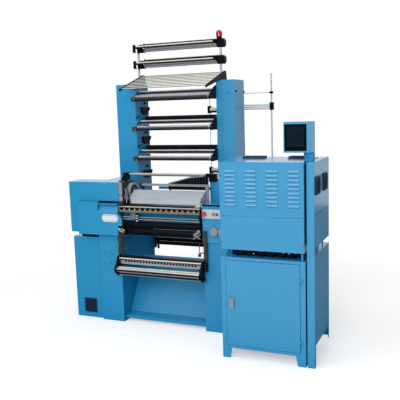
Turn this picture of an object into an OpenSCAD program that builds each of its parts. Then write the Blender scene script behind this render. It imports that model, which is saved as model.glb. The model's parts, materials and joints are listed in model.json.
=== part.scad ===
// Crochet knitting machine with a yarn feed tower and a control cabinet.
// Frame: X to the right, Y to the back, Z up, operator side facing -Y.
// Origin: middle of the footprint, on the floor. Millimetres.

/* [Layout] */
// Clear width between the two side frames
gap_w = 672; // [640:1:720]
// X of the middle of the clear width
mid_x = -231; // [-240:1:-220]
// Thickness of the folded sheet steel
sheet = 3; // [2:0.5:4]

/* [Side frames] */
// Width of each side frame
frame_w = 186; // [160:1:200]
// Y of the front faces of the side frames
frame_front = -87; // [-95:1:-80]
// Depth of the side frames
frame_depth = 543; // [500:1:560]
// Height of the side frames
frame_h = 1068; // [1060:1:1080]
// Height of the shelf that the needle bed rests on
shelf_z = 924; // [918:1:930]
// How far the right frame steps back above the shelf
shelf_step = 154; // [130:1:156]

/* [Tower] */
// Height of the top of the tower columns
tower_top = 1790; // [1780:1:1810]
// Y of the front of the tower columns
tower_front = 237; // [230:1:240]
// Depth of the tower columns
tower_depth = 215; // [205:1:218]
// Width of the left column
left_tower_w = 165; // [150:1:180]
// Width of the right column
right_tower_w = 140; // [130:1:180]
// Heights of the front rollers of the three feed stages, lowest last
stage_z = [1678, 1455, 1229]; // [1100:1:1700]
// Step back from one roller of a stage to the next
stage_run = 95; // [90:1:105]
// Rise from the front roller of a stage to the middle one
stage_rise = 42; // [40:1:46]
// Rise from the front roller of a stage to the back one
back_rise = 69; // [66:1:72]
// Radius of the front roller of a stage
feed_r = 18; // [16:0.5:20]
// Radius of the chromed middle roller
nip_r = 15.5; // [13:0.5:17]
// Radius of the rubber-covered back roller
back_r = 18.5; // [16:0.5:20]

/* [Top rack] */
// Heights of the two rack rollers
rack_z = [2048, 1928]; // [1900:1:2060]
// Y of the rack posts
rack_y = 310; // [300:1:315]
// Radius of the rack rollers
rack_r = 17.5; // [14:0.5:19]
// Number of rods in the inclined rod rack
rack_rods = 9; // [5:1:11]

/* [Knitting unit] */
// Distance between neighbouring needles
needle_pitch = 6.35; // [6.35:0.05:8]
// Number of needles
needle_count = 96; // [60:1:96]
// Height of the needle centre line above the floor
needle_z = 903.5; // [903:0.1:904]
// Number of half-round pockets along the bed
bed_pockets = 15; // [8:1:15]
// Radius of the half-round pockets
pocket_r = 19; // [12:1:19]
// Height of the roller that the warp runs over
warp_z = 1112; // [1105:1:1120]
// Pitch of the yarn guides of the weft bar
guide_pitch = 12.7; // [12.7:0.1:16]

/* [Take-down and delivery] */
// Radius of the two take-down rollers
takedown_r = 25; // [22:0.5:25.5]
// Height of the upper take-down roller
takedown_z = 755; // [750:1:760]
// Distance between the take-down rollers' axes
takedown_pitch = 51.5; // [51.5:0.1:53]
// Y of the take-down rollers
takedown_y = -73; // [-76:1:-70]
// Teeth of each take-down gear
gear_teeth = 20; // [16:1:24]
// Height of the rod above the delivery rollers
delivery_z = 508; // [504:1:514]
// Radius of the delivery rollers
delivery_r = 14.5; // [12:0.5:16]

/* [Control cabinet] */
// Left side of the upper cabinet
cab_x = 397; // [390:1:400]
// Width of the upper cabinet
cab_w = 531; // [520:1:532]
// Y of the front of the upper cabinet
cab_front = -493; // [-500:1:-490]
// Y of the back of both cabinets
cab_back = -87; // [-90:0.5:-87]
// Underside of the upper cabinet
cab_low = 715; // [705:1:720]
// Top of the upper cabinet
cab_top = 1260; // [1250:1:1270]
// Height of the seam below the louvred panel
seam_z = 926; // [915:1:935]
// Louvres in a row of the panel
louvre_cols = 4; // [2:1:4]
// Rows of louvres
louvre_rows = 9; // [4:1:9]
// Top of the lower cabinet
base_top = 663; // [655:1:665]
// Height of the lower cabinet's legs
leg_h = 67; // [60:1:75]
// Fan size across flats
fan_size = 106; // [104:1:112]

/* [Hidden] */
$fn = 48;

// Paint and material colours
blue = [0.29, 0.61, 0.80];
dark = [0.10, 0.10, 0.11];
steel = [0.70, 0.71, 0.72];
chrome = [0.80, 0.81, 0.83];
tan_steel = [0.56, 0.53, 0.45];
casting = [0.72, 0.73, 0.76];
rubber = [0.13, 0.13, 0.14];

inner_l = mid_x - gap_w / 2;
inner_r = mid_x + gap_w / 2;
frame_back = frame_front + frame_depth;
shelf_back = frame_front + shelf_step;
tower_back = tower_front + tower_depth;
fit = 0.06;
journal_r = 8;
roller_gap = 2;
feed_y = tower_front - 90;
arm_plate_t = 8;
ear_x = inner_r - arm_plate_t;
arm_x = inner_l + 26;
end_block_x = arm_x + 33;

// ---------- shared shapes ----------

// Block between two opposite corners
module box(x0, x1, y0, y1, z0, z1) {
    translate([x0, y0, z0]) cube([x1 - x0, y1 - y0, z1 - z0]);
}

// Outline drawn in Y and Z, extruded from x0 to x1
module yz_prism(x0, x1) {
    translate([x0, 0, 0]) rotate([90, 0, 90]) linear_extrude(x1 - x0) children();
}

// Outline drawn in X and Z, extruded from y0 to y1
module xz_prism(y0, y1) {
    translate([0, y1, 0]) rotate([90, 0, 0]) linear_extrude(y1 - y0) children();
}

// Round bar along X
module x_bar(r, x0, x1, y, z) {
    translate([x0, y, z]) rotate([0, 90, 0]) cylinder(r = r, h = x1 - x0);
}

// Round bar along Y
module y_bar(r, y0, y1, x, z) {
    translate([x, y1, z]) rotate([90, 0, 0]) cylinder(r = r, h = y1 - y0);
}

// Round bar along Z
module z_bar(r, z0, z1, x, y) {
    translate([x, y, z0]) cylinder(r = r, h = z1 - z0);
}

// Sheet-metal box, hollow, with its bottom open
module open_bottom_box(x0, x1, y0, y1, z0, z1, t) {
    difference() {
        box(x0, x1, y0, y1, z0, z1);
        box(x0 + t, x1 - t, y0 + t, y1 - t, z0 - 1, z1 - t);
    }
}

// Sheet-metal box, hollow, with its back open
module open_back_box(x0, x1, y0, y1, z0, z1, t) {
    difference() {
        box(x0, x1, y0, y1, z0, z1);
        box(x0 + t, x1 - t, y0 + t, y1 + 1, z0 + t, z1 - t);
    }
}

// Roller with a journal at each end
module roller(r, y, z, x0, x1, journal) {
    x_bar(r, x0, x1, y, z);
    x_bar(journal_r, x0 - journal, x1 + journal, y, z);
}

// ---------- side frames and housings ----------

module left_side_frame() {
    color(blue) open_bottom_box(inner_l - frame_w, inner_l, frame_front, frame_back, 0, frame_h, sheet + 2);
}

// Outline of the stepped right frame, inset by t
module stepped_outline(t) {
    polygon([
        [frame_front + t, t == 0 ? 0 : -1], [frame_back - t, t == 0 ? 0 : -1],
        [frame_back - t, frame_h - t], [shelf_back + t, frame_h - t],
        [shelf_back + t, shelf_z - t], [frame_front + t, shelf_z - t]]);
}

module right_side_frame() {
    t = sheet + 2;
    color(blue) difference() {
        yz_prism(inner_r, inner_r + frame_w) stepped_outline(0);
        yz_prism(inner_r + t, inner_r + frame_w - t) stepped_outline(t);
    }
}

motor_x = -998;
motor_y = -65;
motor_depth = 395;
motor_h = 641;
vent_x = -874;
vent_z = 96;
vent_size = 112;

module motor_cabinet() {
    color(blue) difference() {
        open_bottom_box(motor_x, inner_l - frame_w, motor_y, motor_y + motor_depth, 0, motor_h, sheet);
        box(vent_x - vent_size / 2, vent_x + vent_size / 2, motor_y - 1, motor_y + sheet + 1,
            vent_z - vent_size / 2, vent_z + vent_size / 2);
    }
}

drive_low = 680;
drive_back = 72;

module drive_box(x0, x1) {
    open_bottom_box(x0, x1, frame_front, drive_back, drive_low, frame_h, sheet);
}

module left_drive_box() {
    color(blue) drive_box(motor_x, inner_l - frame_w);
}

right_box_w = 250;

module right_drive_box() {
    color(blue) drive_box(inner_r + frame_w, inner_r + frame_w + right_box_w);
}

cover_l = -913;
cover_low = 672;
cover_t = 30;
cover_step_x = -735;
cover_step_z = 843;
cover_scoop_z = 885;
cover_top = 922;
cover_nose_x = inner_l + 36;
cover_nose_low = 748;
ledge_low = 904;
ledge_high = 912;

// Pressed casing over the left drive, with a nose that reaches to the needle bed
module left_front_cover() {
    y0 = frame_front - cover_t;
    color(blue) {
        difference() {
            xz_prism(y0, frame_front) polygon([
                [cover_l, cover_low], [inner_l, cover_low], [inner_l, cover_nose_low],
                [cover_nose_x, cover_nose_low], [cover_nose_x, 795], [cover_nose_x - 4, 806],
                [cover_nose_x - 12, 815], [inner_l + 8, cover_step_z - 8], [inner_l, cover_step_z],
                [cover_step_x, cover_step_z], [cover_step_x, cover_top], [cover_l, cover_top]]);
            box(cover_l + sheet, inner_l - sheet, y0 + sheet, frame_front + 1, cover_low + sheet,
                cover_step_z - sheet);
            box(cover_l + sheet, cover_step_x - sheet, y0 + sheet, frame_front + 1, cover_low + sheet,
                cover_top - sheet);
        }
        yz_prism(cover_step_x, inner_l) polygon([
            [frame_front, cover_step_z], [y0, cover_step_z], [y0 + 21, cover_scoop_z], [y0 + 25, ledge_low],
            [y0, ledge_low], [y0, ledge_high], [frame_front, ledge_high]]);
    }
}

panel_cover_t = 10;
panel_cover_low = 655;
groove_z = 898;
groove_h = 3;

// Flat casing of the right frame, with a groove below its top ledge
module right_front_cover() {
    y0 = frame_front - panel_cover_t;
    color(blue) difference() {
        open_back_box(inner_r + 2, inner_r + frame_w, y0, frame_front, panel_cover_low, ledge_high, sheet);
        box(inner_r + 1, inner_r + frame_w + 1, y0 - 1, y0 + 1.5, groove_z, groove_z + groove_h);
        for (x = [mushroom_x, pause_x, start_x]) {
            y_bar(button_bore + 1.5, y0 - 1, y0 + sheet + 1, x, button_z);
        }
    }
}

slot_low = 913;

// Raised black lip round a handle slot of the upper cabinet
module handle_lip(x) {
    wall = 4;
    difference() {
        box(x - wall, x + handle_w + wall, handle_y0 - wall, handle_y1 + wall, cab_top, cab_top + 14);
        box(x, x + handle_w, handle_y0, handle_y1, cab_top - 1, cab_top + 15);
    }
}

// Black parts between the painted housings: cover slots, box feet and handle lips
module dark_spacers() {
    color(dark) {
        box(cover_step_x + 2, inner_l, frame_front - 3, frame_front, slot_low, 928);
        box(inner_r + 2, inner_r + frame_w - 6, frame_front - 3, frame_front, slot_low, shelf_z);
        box(-925, inner_l - frame_w, frame_front + 30, drive_back - 20, motor_h, drive_low);
        box(base_x0 + 50, base_x1 - 37, base_front + 83, cab_back - 73, base_top, cab_low);
        for (x = handle_x) {
            handle_lip(x);
        }
    }
}

panel_z0 = 828;
panel_z1 = 893;
panel_t = 4;
panel_front = frame_front - panel_cover_t - panel_t;
mushroom_x = 126;
pause_x = 194;
start_x = 222;
button_z = 861;
button_bore = 8;

// White switch plate with three button holes
module control_panel() {
    color([0.9, 0.9, 0.92]) difference() {
        box(inner_r + 2, inner_r + frame_w - 6, panel_front, panel_front + panel_t, panel_z0, panel_z1);
        y_bar(button_bore, panel_front - 1, panel_front + panel_t + 1, mushroom_x, button_z);
        y_bar(button_bore, panel_front - 1, panel_front + panel_t + 1, pause_x, button_z);
        y_bar(button_bore, panel_front - 1, panel_front + panel_t + 1, start_x, button_z);
    }
}

// Button with a stem of 4 mm travel through the plate
module button(x, head_r, head_h) {
    travel = 4;
    y_bar(head_r, panel_front - travel - 0.5 - head_h, panel_front - travel - 0.5, x, button_z);
    y_bar(button_bore - fit, panel_front - travel - 0.5, panel_front + panel_t - 0.5, x, button_z);
}

module stop_mushroom() {
    color([0.85, 0.1, 0.12]) {
        button(mushroom_x, 17, 10);
    }
}

module pause_button() {
    color([0.85, 0.5, 0.1]) button(pause_x, 10.5, 5);
}

module start_button() {
    color([0.05, 0.5, 0.3]) button(start_x, 10.5, 5);
}

cap_r = 29;
cap_t = 14;
cap_z = 736;
cap_x = 195;
cap_step = 61;

// Two round caps over the drive shafts
module shaft_caps() {
    color([0.75, 0.76, 0.78]) for (i = [0, 1]) {
        y_bar(cap_r, frame_front - panel_cover_t - cap_t, frame_front - panel_cover_t, cap_x + i * cap_step, cap_z);
    }
}

beam_y0 = -25;
beam_y1 = 75;
beam_z0 = 770;
beam_z1 = 862;

module main_beam() {
    color(blue) difference() {
        box(inner_l, inner_r, beam_y0, beam_y1, beam_z0, beam_z1);
        box(inner_l - 1, inner_r + 1, beam_y0 + 8, beam_y1 - 8, beam_z0 - 1, beam_z1 - 8);
    }
}

chute_t = 4;

// Sheet that the finished cloth slides down, with a folded lip at the floor
module cloth_chute() {
    foot_y = 24;
    foot_z = 55;
    top_y = 256;
    top_z = 440;
    lip_y = -60;
    lip_low = 22;
    color(blue) yz_prism(inner_l, inner_r) {
        polygon([
            [foot_y, foot_z], [top_y, top_z], [top_y + 28, top_z],
            [top_y + 28, top_z - chute_t], [top_y + 3, top_z - chute_t],
            [foot_y + 3, foot_z - chute_t], [lip_y + chute_t, foot_z - chute_t - 10],
            [lip_y + chute_t, lip_low], [lip_y, lip_low], [lip_y, foot_z - 10]]);
    }
}

// ---------- tower ----------

// Outline of the plate that carries one stage's rollers, starting at y0
module stage_outline(y0, z) {
    polygon(concat(
        [[y0, z - 22], [y0, z + 25]],
        y0 < 148 ? [[148, z + 25]] : [],
        [[206, z + 66], [300, z + 95], [362, z + 95], [362, z + 45], [300, z - 22]]));
}

// Bores of a stage for the rollers from number first on
module stage_bores(x0, x1, z, first) {
    last = z == stage_z[0] ? 1 : 2;
    for (n = [first : last]) {
        x_bar(journal_r + fit, x0, x1, stage_y(n), stage_h(z, n));
    }
}

module left_tower_column() {
    color(blue) {
        open_bottom_box(inner_l - left_tower_w, inner_l, tower_front, tower_back, frame_h, tower_top, sheet);
        for (z = stage_z) {
            difference() {
                yz_prism(arm_x, arm_x + arm_plate_t) stage_outline(172, z);
                stage_bores(arm_x - 1, arm_x + arm_plate_t + 1, z, 1);
            }
            box(inner_l, arm_x, 262, 282, z + 12, z + 60);
            box(inner_l, arm_x, 302, 322, z + 12, z + 60);
        }
    }
}

seam_w = 1.5;
seam_in = 42;

module right_tower_column() {
    color(blue) difference() {
        open_bottom_box(inner_r, inner_r + right_tower_w, tower_front, tower_back, frame_h, tower_top, sheet);
        box(inner_r + seam_in, inner_r + seam_in + seam_w, tower_front - 1, tower_front + seam_w,
            frame_h - 1, tower_top + 1);
    }
}

// Y and height of roller n of the stage at height z, 0 at the front
function stage_y(n) = feed_y + n * stage_run;
function stage_h(z, n) = z + (n == 0 ? 0 : n == 1 ? stage_rise : back_rise);

cradle_r = 61;
cradle_t = 14;
cradle_y = 378;
cradle_top = [1613, 1383, 1113];
cradle_slot_y = 418;
stub_y = 358;
stub_x = inner_r - 95;
warp_y = 75;
warp_r = 11;
rear_y = 473;
rear_z = 500;
rear_r = 15.5;

// Half-round cradle for the end of a yarn beam, with a slot for its axle
module cradle(top) {
    slot_r = 17;
    lobe_r = 34;
    yz_prism(inner_l, inner_l + cradle_t) difference() {
        union() {
            translate([cradle_y, top]) circle(cradle_r);
            translate([cradle_slot_y, top]) circle(lobe_r);
        }
        translate([cradle_y - cradle_r - 1, top]) square([2 * cradle_r + 40, cradle_r + 1]);
        translate([cradle_slot_y, top - 12]) circle(slot_r);
        translate([cradle_slot_y - slot_r, top - 12]) square([2 * slot_r, 30]);
    }
    box(inner_l, inner_l + cradle_t + 6, cradle_y - 58, cradle_slot_y - slot_r - 2, top - 10, top);
    x_bar(9, inner_l, inner_l + 12, cradle_y + 7, top + 32);
}

// Bracket with a bore for one end of the warp roller
module warp_foot(x0, x1, inside) {
    low = warp_z - 16;
    high = warp_z + 12;
    difference() {
        union() {
            box(x0, x1, warp_y - 25, warp_y + 25, frame_h, high);
            box(min(x0, inside), max(x1, inside), warp_y - 18, warp_y + 18, low, high);
        }
        x_bar(journal_r + fit, min(x0, inside) - 1, max(x1, inside) + 1, warp_y, warp_z);
    }
}

// Plate on the back of a side frame with a bore for the rear roller
module rear_plate(x0, x1) {
    difference() {
        box(x0, x1, frame_back, rear_y + 26, rear_z - 45, rear_z + 55);
        x_bar(journal_r + fit, x0 - 1, x1 + 1, rear_y, rear_z);
    }
}

module bearing_blocks() {
    color(dark) {
        for (z = stage_z) {
            difference() {
                yz_prism(ear_x, inner_r) stage_outline(130, z);
                stage_bores(ear_x - 1, inner_r + 1, z, 0);
            }
        }
        for (top = cradle_top) {
            cradle(top);
        }
        box(stub_x - 18, stub_x, stub_y - 20, stub_y + 20, 1551, 1606);
        box(stub_x - 18, stub_x, stub_y - 20, stub_y + 20, 1090, 1145);
        warp_foot(inner_l - 33, inner_l, inner_l + 10);
        warp_foot(inner_r, inner_r + 50, inner_r - 29);
        rear_plate(inner_l - 12, inner_l);
        rear_plate(inner_r, inner_r + 12);
        x_bar(9, inner_l, inner_r, rear_y - 4, rear_z + 38);
        box(-537, -520, 447, 470, rear_z + 30, rear_z + 45);
        box(-537, -520, 447, 455, rear_z - 45, rear_z + 45);
    }
}

module stage_roller(z, n, r) {
    x0 = n == 0 ? end_block_x + roller_gap : arm_x + arm_plate_t + roller_gap;
    x_bar(n == 2 ? r - 1 : r, x0, x0 + 12, stage_y(n), stage_h(z, n));
    x_bar(r, x0 + 12, ear_x - roller_gap, stage_y(n), stage_h(z, n));
    x_bar(journal_r, arm_x + 1, inner_r - 0.5, stage_y(n), stage_h(z, n));
}

module feed_roller_top() {
    color(steel) stage_roller(stage_z[0], 0, feed_r + 5);
}

module feed_roller_middle() {
    color(steel) stage_roller(stage_z[1], 0, feed_r);
}

module feed_roller_low() {
    color(steel) stage_roller(stage_z[2], 0, feed_r);
}

module nip_roller_top() {
    color(chrome) stage_roller(stage_z[0], 1, nip_r);
}

module nip_roller_middle() {
    color(chrome) stage_roller(stage_z[1], 1, nip_r);
}

module nip_roller_low() {
    color(chrome) stage_roller(stage_z[2], 1, nip_r);
}

module back_roller_middle() {
    color(rubber) stage_roller(stage_z[1], 2, back_r);
}

module back_roller_low() {
    color(rubber) stage_roller(stage_z[2], 2, back_r);
}

module warp_roller() {
    color([0.86, 0.84, 0.76]) {
        x_bar(warp_r, inner_l + 55, inner_r - 31, warp_y, warp_z);
        x_bar(journal_r, inner_l - 32, inner_r + 49, warp_y, warp_z);
    }
}

module rear_roller() {
    color(rubber) {
        x_bar(rear_r, inner_l + 4, inner_r - 4, rear_y, rear_z);
        x_bar(journal_r, inner_l - 11, inner_r + 11, rear_y, rear_z);
    }
}

// ---------- top rack ----------

plate_t = 6;
left_plate_x = inner_l + 15;
right_plate_x = inner_r + 25;
post_r = 8.5;
left_post_x = left_plate_x - post_r;
right_post_x = right_plate_x - post_r;
post_top = rack_z[0] + 38;
tip_y = -30;
tip_z = 1740;
rack_slope = 0.304;
rack_rod_r = 4;
rack_rod_step = 41.5;
rack_arm_front = 215;
rack_arm_back = 377;
left_rack_arm = inner_l + 23;
right_rack_arm = inner_r - 5;
beacon_x = 112;
block_l0 = left_post_x;
block_l1 = -507;
block_r0 = right_rack_arm;
block_r1 = 158;

// Slanted end plate of the rod rack
module rack_plate(x) {
    yz_prism(x, x + plate_t) polygon([
        [tip_y, tip_z - 9], [tip_y, tip_z + 8], [344, 1862], [376, 1858], [387, tower_top + 5],
        [337, tower_top], [tower_front, tower_top]]);
}

// Block clamped round a post, with the arms that carry the thin rods
module post_bracket(x0, x1, z0, z1, cut, post_x, arm_x0, z) {
    difference() {
        xz_prism(rack_y - 22, rack_y + 22) polygon([
            [x0, z0], [x1 - cut, z0], [x1, z0 + cut], [x1, z1 - cut], [x1 - cut, z1], [x0, z1]]);
        z_bar(post_r + fit, z - 30, post_top + 1, post_x, rack_y);
        x_bar(6 + fit, x0 - 1, x1 + 1, rack_y, z);
    }
    yz_prism(arm_x0, arm_x0 + plate_t) polygon([
        [rack_arm_front - 9, z + 8], [rack_arm_front - 9, z + 24], [rack_y - 22, z + 22],
        [rack_y - 22, z + 2]]);
    yz_prism(arm_x0, arm_x0 + plate_t) polygon([
        [rack_y + 22, z + 4], [rack_y + 22, z + 24], [rack_arm_back - 4, z + 58],
        [rack_arm_back + 8, z + 54], [rack_arm_back + 8, z + 44]]);
}

// Bent hook at the free end of a left rack arm
module rack_hook(z) {
    x0 = left_rack_arm - 7;
    y0 = rack_arm_front - 12;
    hook_w = 24;
    box(x0, x0 + hook_w, y0, y0 + 4, z - 26, z + 32);
    box(x0, x0 + hook_w, y0, y0 + 13, z - 26, z - 21);
}

clamp_x0 = 458;
clamp_x1 = 484;

// Clamp of the service post
module service_clamp(z0, z1, x1) {
    difference() {
        box(clamp_x0, x1, service_y - 14, service_y + 14, z0, z1);
        z_bar(service_r + fit, z0 - 1, z1 + 1, service_x, service_y);
    }
}

module rack_brackets() {
    color(dark) {
        rack_plate(left_plate_x);
        rack_plate(right_plate_x);
        for (z = rack_z) {
            post_bracket(block_l0, block_l1, z - 20, z + 20, 4, left_post_x, left_rack_arm, z);
            post_bracket(block_r0, block_r1, z - 19, z + 43, 12, right_post_x, right_rack_arm, z);
            rack_hook(z);
        }
        box(inner_l, left_plate_x + plate_t, tower_front + 3, rack_y + 20, tower_top - 30, tower_top);
        z_bar(19, post_top, beacon_base, beacon_x, rack_y);
        service_clamp(1563, 1619, clamp_x1);
        service_clamp(1682, 1698, clamp_x1 - 4);
    }
}

beacon_base = 2104;
beacon_r = 23;
beacon_side = 26;

module beacon_lens() {
    color([0.85, 0.05, 0.05]) translate([beacon_x, rack_y, beacon_base]) rotate_extrude() {
        intersection() {
            union() {
                square([beacon_r, beacon_side]);
                translate([0, beacon_side]) circle(beacon_r);
            }
            square([beacon_r, 60]);
        }
    }
}

module rack_roller_top() {
    rack_roller(rack_z[0]);
}

module rack_roller_low() {
    rack_roller(rack_z[1]);
}

module rack_roller(z) {
    color([0.78, 0.78, 0.77]) {
        x_bar(rack_r, block_l1 + 1, block_r0 - 3, rack_y, z);
        x_bar(6, block_l1 - 16, block_r0 + 12, rack_y, z);
    }
}

service_x = 469;
service_y = 417;
service_r = 5.5;

// Rack posts and the service post that the side arm holds
module rack_posts() {
    arm_x0 = inner_r + right_tower_w;
    color(steel) {
        for (x = [left_post_x, right_post_x]) {
            z_bar(post_r, tower_top, post_top, x, rack_y);
        }
        z_bar(service_r, 1180, 1829, service_x, service_y);
        for (dz = [-14, 0, 14]) {
            x_bar(5.5, arm_x0, clamp_x0, service_y, 1588 + dz);
        }
        x_bar(3, arm_x0, clamp_x0, service_y, 1690);
    }
}

// ---------- knitting unit ----------

bed_x0 = inner_l + 26;
bed_x1 = inner_r - 5;
bed_front = -128;
bed_back = -97;
bed_low = 855;
bed_base = needle_z - 3.5;
bed_half = needle_pitch * needle_count / 2;
lip_h = 10;
lip_t = 6;
finger_w = 3;
finger_h = 8;
bed_deck_back = -40;

// Row of half-round pockets along the front bar of the bed
module bed_pocket_cuts() {
    step = (bed_x1 - bed_x0) / bed_pockets;
    for (i = [0 : bed_pockets - 1]) {
        y_bar(pocket_r, bed_front - 1, bed_back + 1, bed_x0 + (i + 0.5) * step, bed_base - lip_h - 1);
    }
}

// Grooved deck: the wall between two needles stands on a solid base
module groove_profile() {
    x0 = mid_x - bed_half;
    polygon(concat(
        [[bed_x0, bed_base - lip_h], [bed_x0, bed_base]],
        [for (i = [0 : needle_count]) for (p = [[0, 0], [0, finger_h], [finger_w, finger_h], [finger_w, 0]])
            [x0 + i * needle_pitch - finger_w / 2 + p[0], bed_base + p[1]]],
        [[bed_x1, bed_base], [bed_x1, bed_base - lip_h]]));
}

// Needle bed: pocketed front bar, smooth lip and grooved deck
module needle_bed() {
    color(tan_steel) {
        difference() {
            box(bed_x0, bed_x1, bed_front, bed_back, bed_low, bed_base - lip_h);
            bed_pocket_cuts();
        }
        box(bed_x0, bed_x1, bed_front, bed_front + lip_t, bed_base - lip_h, bed_base);
        xz_prism(bed_front + lip_t, bed_deck_back) groove_profile();
        box(bed_x0, bed_x1, bed_back, beam_y0 + 12, beam_z1, bed_base - lip_h);
    }
}

needle_w = 1.6;
needle_t = 3;
needle_reach = bed_front + 14;
needle_bar_front = bed_deck_back + 22;
needle_bar_back = needle_bar_front + 14;

// Comb of needles on the bar that drives them through the grooves
module needle_bar() {
    x0 = mid_x - bed_half + needle_pitch / 2;
    color(steel) {
        translate([0, 0, needle_z - needle_t / 2]) linear_extrude(needle_t) {
            for (i = [0 : needle_count - 1]) {
                translate([x0 + i * needle_pitch - needle_w / 2, needle_reach])
                    square([needle_w, needle_bar_front - needle_reach]);
            }
            translate([x0 - 8, needle_bar_front]) square([2 * bed_half + 10, needle_bar_back - needle_bar_front]);
        }
        box(x0 - 8, x0 + 2 * bed_half + 2, needle_bar_front, needle_bar_back, needle_z + needle_t / 2,
            needle_z + needle_t / 2 + 9);
    }
}

weft_low = 914;
weft_high = 944;
weft_y = -68;
weft_t = 3;
weft_x0 = -496;
weft_x1 = 84;
guide_w = 2.4;
claw_y = -112;

// Bar with the weft guides, moved sideways over the needles
module weft_bar() {
    n = floor((weft_x1 - weft_x0 - 40) / guide_pitch);
    x0 = (weft_x0 + weft_x1 - n * guide_pitch) / 2;
    color(steel) {
        xz_prism(weft_y, weft_y + weft_t) polygon(concat(
            [[weft_x0, weft_high], [weft_x0, weft_low + 8]],
            [for (i = [0 : n]) for (p = [[0, 8], [0, 0], [guide_w, 0], [guide_w, 8]])
                [x0 + i * guide_pitch - guide_w / 2 + p[0], weft_low + p[1]]],
            [[weft_x1, weft_low + 8], [weft_x1, weft_high]]));
    }
}

cover_x0 = -483;
cover_x1 = 92;

// Folded sheet over the weft guides
module mechanism_cover() {
    color([0.80, 0.81, 0.85]) {
        yz_prism(cover_x0, cover_x1) polygon([
            [-84, 915], [-66, 962], [4, 1006], [7, 1006], [7, 988], [5, 988], [5, 1004],
            [-64.2, 960.6], [-82, 914.2]]);
    }
}

housing_x = inner_l + 49;
cam_y = 20;
cam_z = 985;
ring_r = 72;
shaft_r = 10;

// Cast end housing of the cam drive, open towards the cover
module cam_housing() {
    color(casting) difference() {
        union() {
            yz_prism(inner_l, housing_x) {
                translate([-83, shelf_z + 3]) square([190, 62]);
                translate([-83, shelf_z + 64]) square([103, 82]);
                translate([20, cam_z]) circle(87);
            }
            yz_prism(housing_x, housing_x + 28) difference() {
                translate([cam_y, cam_z]) circle(ring_r);
                translate([cam_y, cam_z]) circle(ring_r - 15);
            }
        }
        x_bar(shaft_r + fit, inner_l - 1, housing_x + 30, cam_y, cam_z);
        yz_prism(inner_l - 1, housing_x + 40) translate([-120, shelf_z - 60]) square([300, 63]);
        yz_prism(inner_l - 1, housing_x + 40) translate([-120, shelf_z + 146]) square([300, 60]);
    }
}

// Shaft with three eccentric cams
module cam_shaft() {
    color(dark) {
        x_bar(shaft_r, inner_l + 1, housing_x + 34, cam_y, cam_z);
        x_bar(40, housing_x + 3, housing_x + 10, cam_y + 6, cam_z + 4);
        x_bar(32, housing_x + 12, housing_x + 19, cam_y - 5, cam_z + 6);
        x_bar(36, housing_x + 21, housing_x + 28, cam_y + 2, cam_z - 8);
    }
}

// Bright frame behind the cover that carries the guide rail
module guide_frame() {
    color([0.75, 0.76, 0.78]) {
        box(-420, inner_r + 12, 8, 24, 1036, 1051);
        box(inner_r - 12, inner_r + 12, 8, 24, shelf_z, 1036);
        box(-478, -440, -75, -60, 795, bed_low + 7);
        box(-478, -440, -75, beam_y0, 840, bed_low + 7);
        xz_prism(claw_y, claw_y + 12) polygon([
            [38, 700], [44, 716], [64, 728], [74, 744], [right_side_x, 744], [right_side_x, 726],
            [72, 712], [60, 700]]);
    }
}

comb_x0 = -215;
comb_x1 = inner_r - 1;
comb_y = 44;
comb_low = 1006;
comb_top = [[comb_x0, 1047], [-101, 1078], [-40, 1094], [70, 1106], [comb_x1, 1108]];

// Slanted comb that spreads the warp, and the black upright at the left of the guide frame
module reed_comb() {
    n = 30;
    rib_w = 4;
    step = (comb_x1 - comb_x0) / (n + 1);
    color(dark) {
        xz_prism(comb_y, comb_y + 3) polygon(concat(comb_top, [[comb_x1, comb_low], [comb_x0, comb_low]]));
        for (i = [0 : n]) {
            x = comb_x0 + (i + 0.5) * step - rib_w / 2;
            box(x, x + rib_w, comb_y - 4, comb_y + 1, comb_low + 2, lookup(x, comb_top) - 4);
        }
        for (x = [comb_x0 + 6, comb_x1 - 21]) {
            box(x, x + 14, comb_y, comb_y + 6, beam_z1, comb_low + 4);
        }
        box(-420, -404, 8, 24, beam_z1, 1036);
        box(-430, -420, 6, 26, 1020, 1056);
    }
}

// ---------- take-down and delivery ----------

takedown_low_z = takedown_z - takedown_pitch;
left_side_x = inner_l + 2;
right_side_x = inner_r - 12;
side_t = 10;
arm_w = 14;
arm_boss_r = 13;
arm_boss_t = 14;
arm_back = -109;
delivery_front_y = -183;
delivery_front_z = 432;
delivery_rear_y = -148;
delivery_rear_z = 400;
left_arm_x = -566;
right_arm_x = 110;

// Side plate that holds the take-down rollers, with the outline given
module takedown_side(x, outline) {
    difference() {
        yz_prism(x, x + side_t) polygon(outline);
        x_bar(journal_r + fit, x - 1, x + side_t + 1, takedown_y, takedown_z);
        x_bar(journal_r + fit, x - 1, x + side_t + 1, takedown_y, takedown_low_z);
    }
}

// Cranked arm that holds one end of the delivery rollers, with a boss from boss_x on
module delivery_arm(x, boss_x) {
    x_bar(arm_boss_r, boss_x, boss_x + arm_boss_t, delivery_rear_y, delivery_rear_z);
    difference() {
        yz_prism(x, x + arm_w) polygon([
            [arm_back, delivery_z + 22], [-150, delivery_z + 18], [-160, delivery_z - 10],
            [delivery_front_y - 18, delivery_front_z + 8], [delivery_front_y - 18, delivery_front_z - 16],
            [delivery_rear_y - 4, delivery_rear_z - 20], [delivery_rear_y + 20, delivery_rear_z - 14],
            [arm_back, delivery_z - 40]]);
        x_bar(journal_r + fit, x - 1, x + arm_w + 1, delivery_front_y, delivery_front_z);
        x_bar(journal_r + fit, x - 1, x + arm_w + 1, delivery_rear_y, delivery_rear_z);
    }
}

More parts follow.
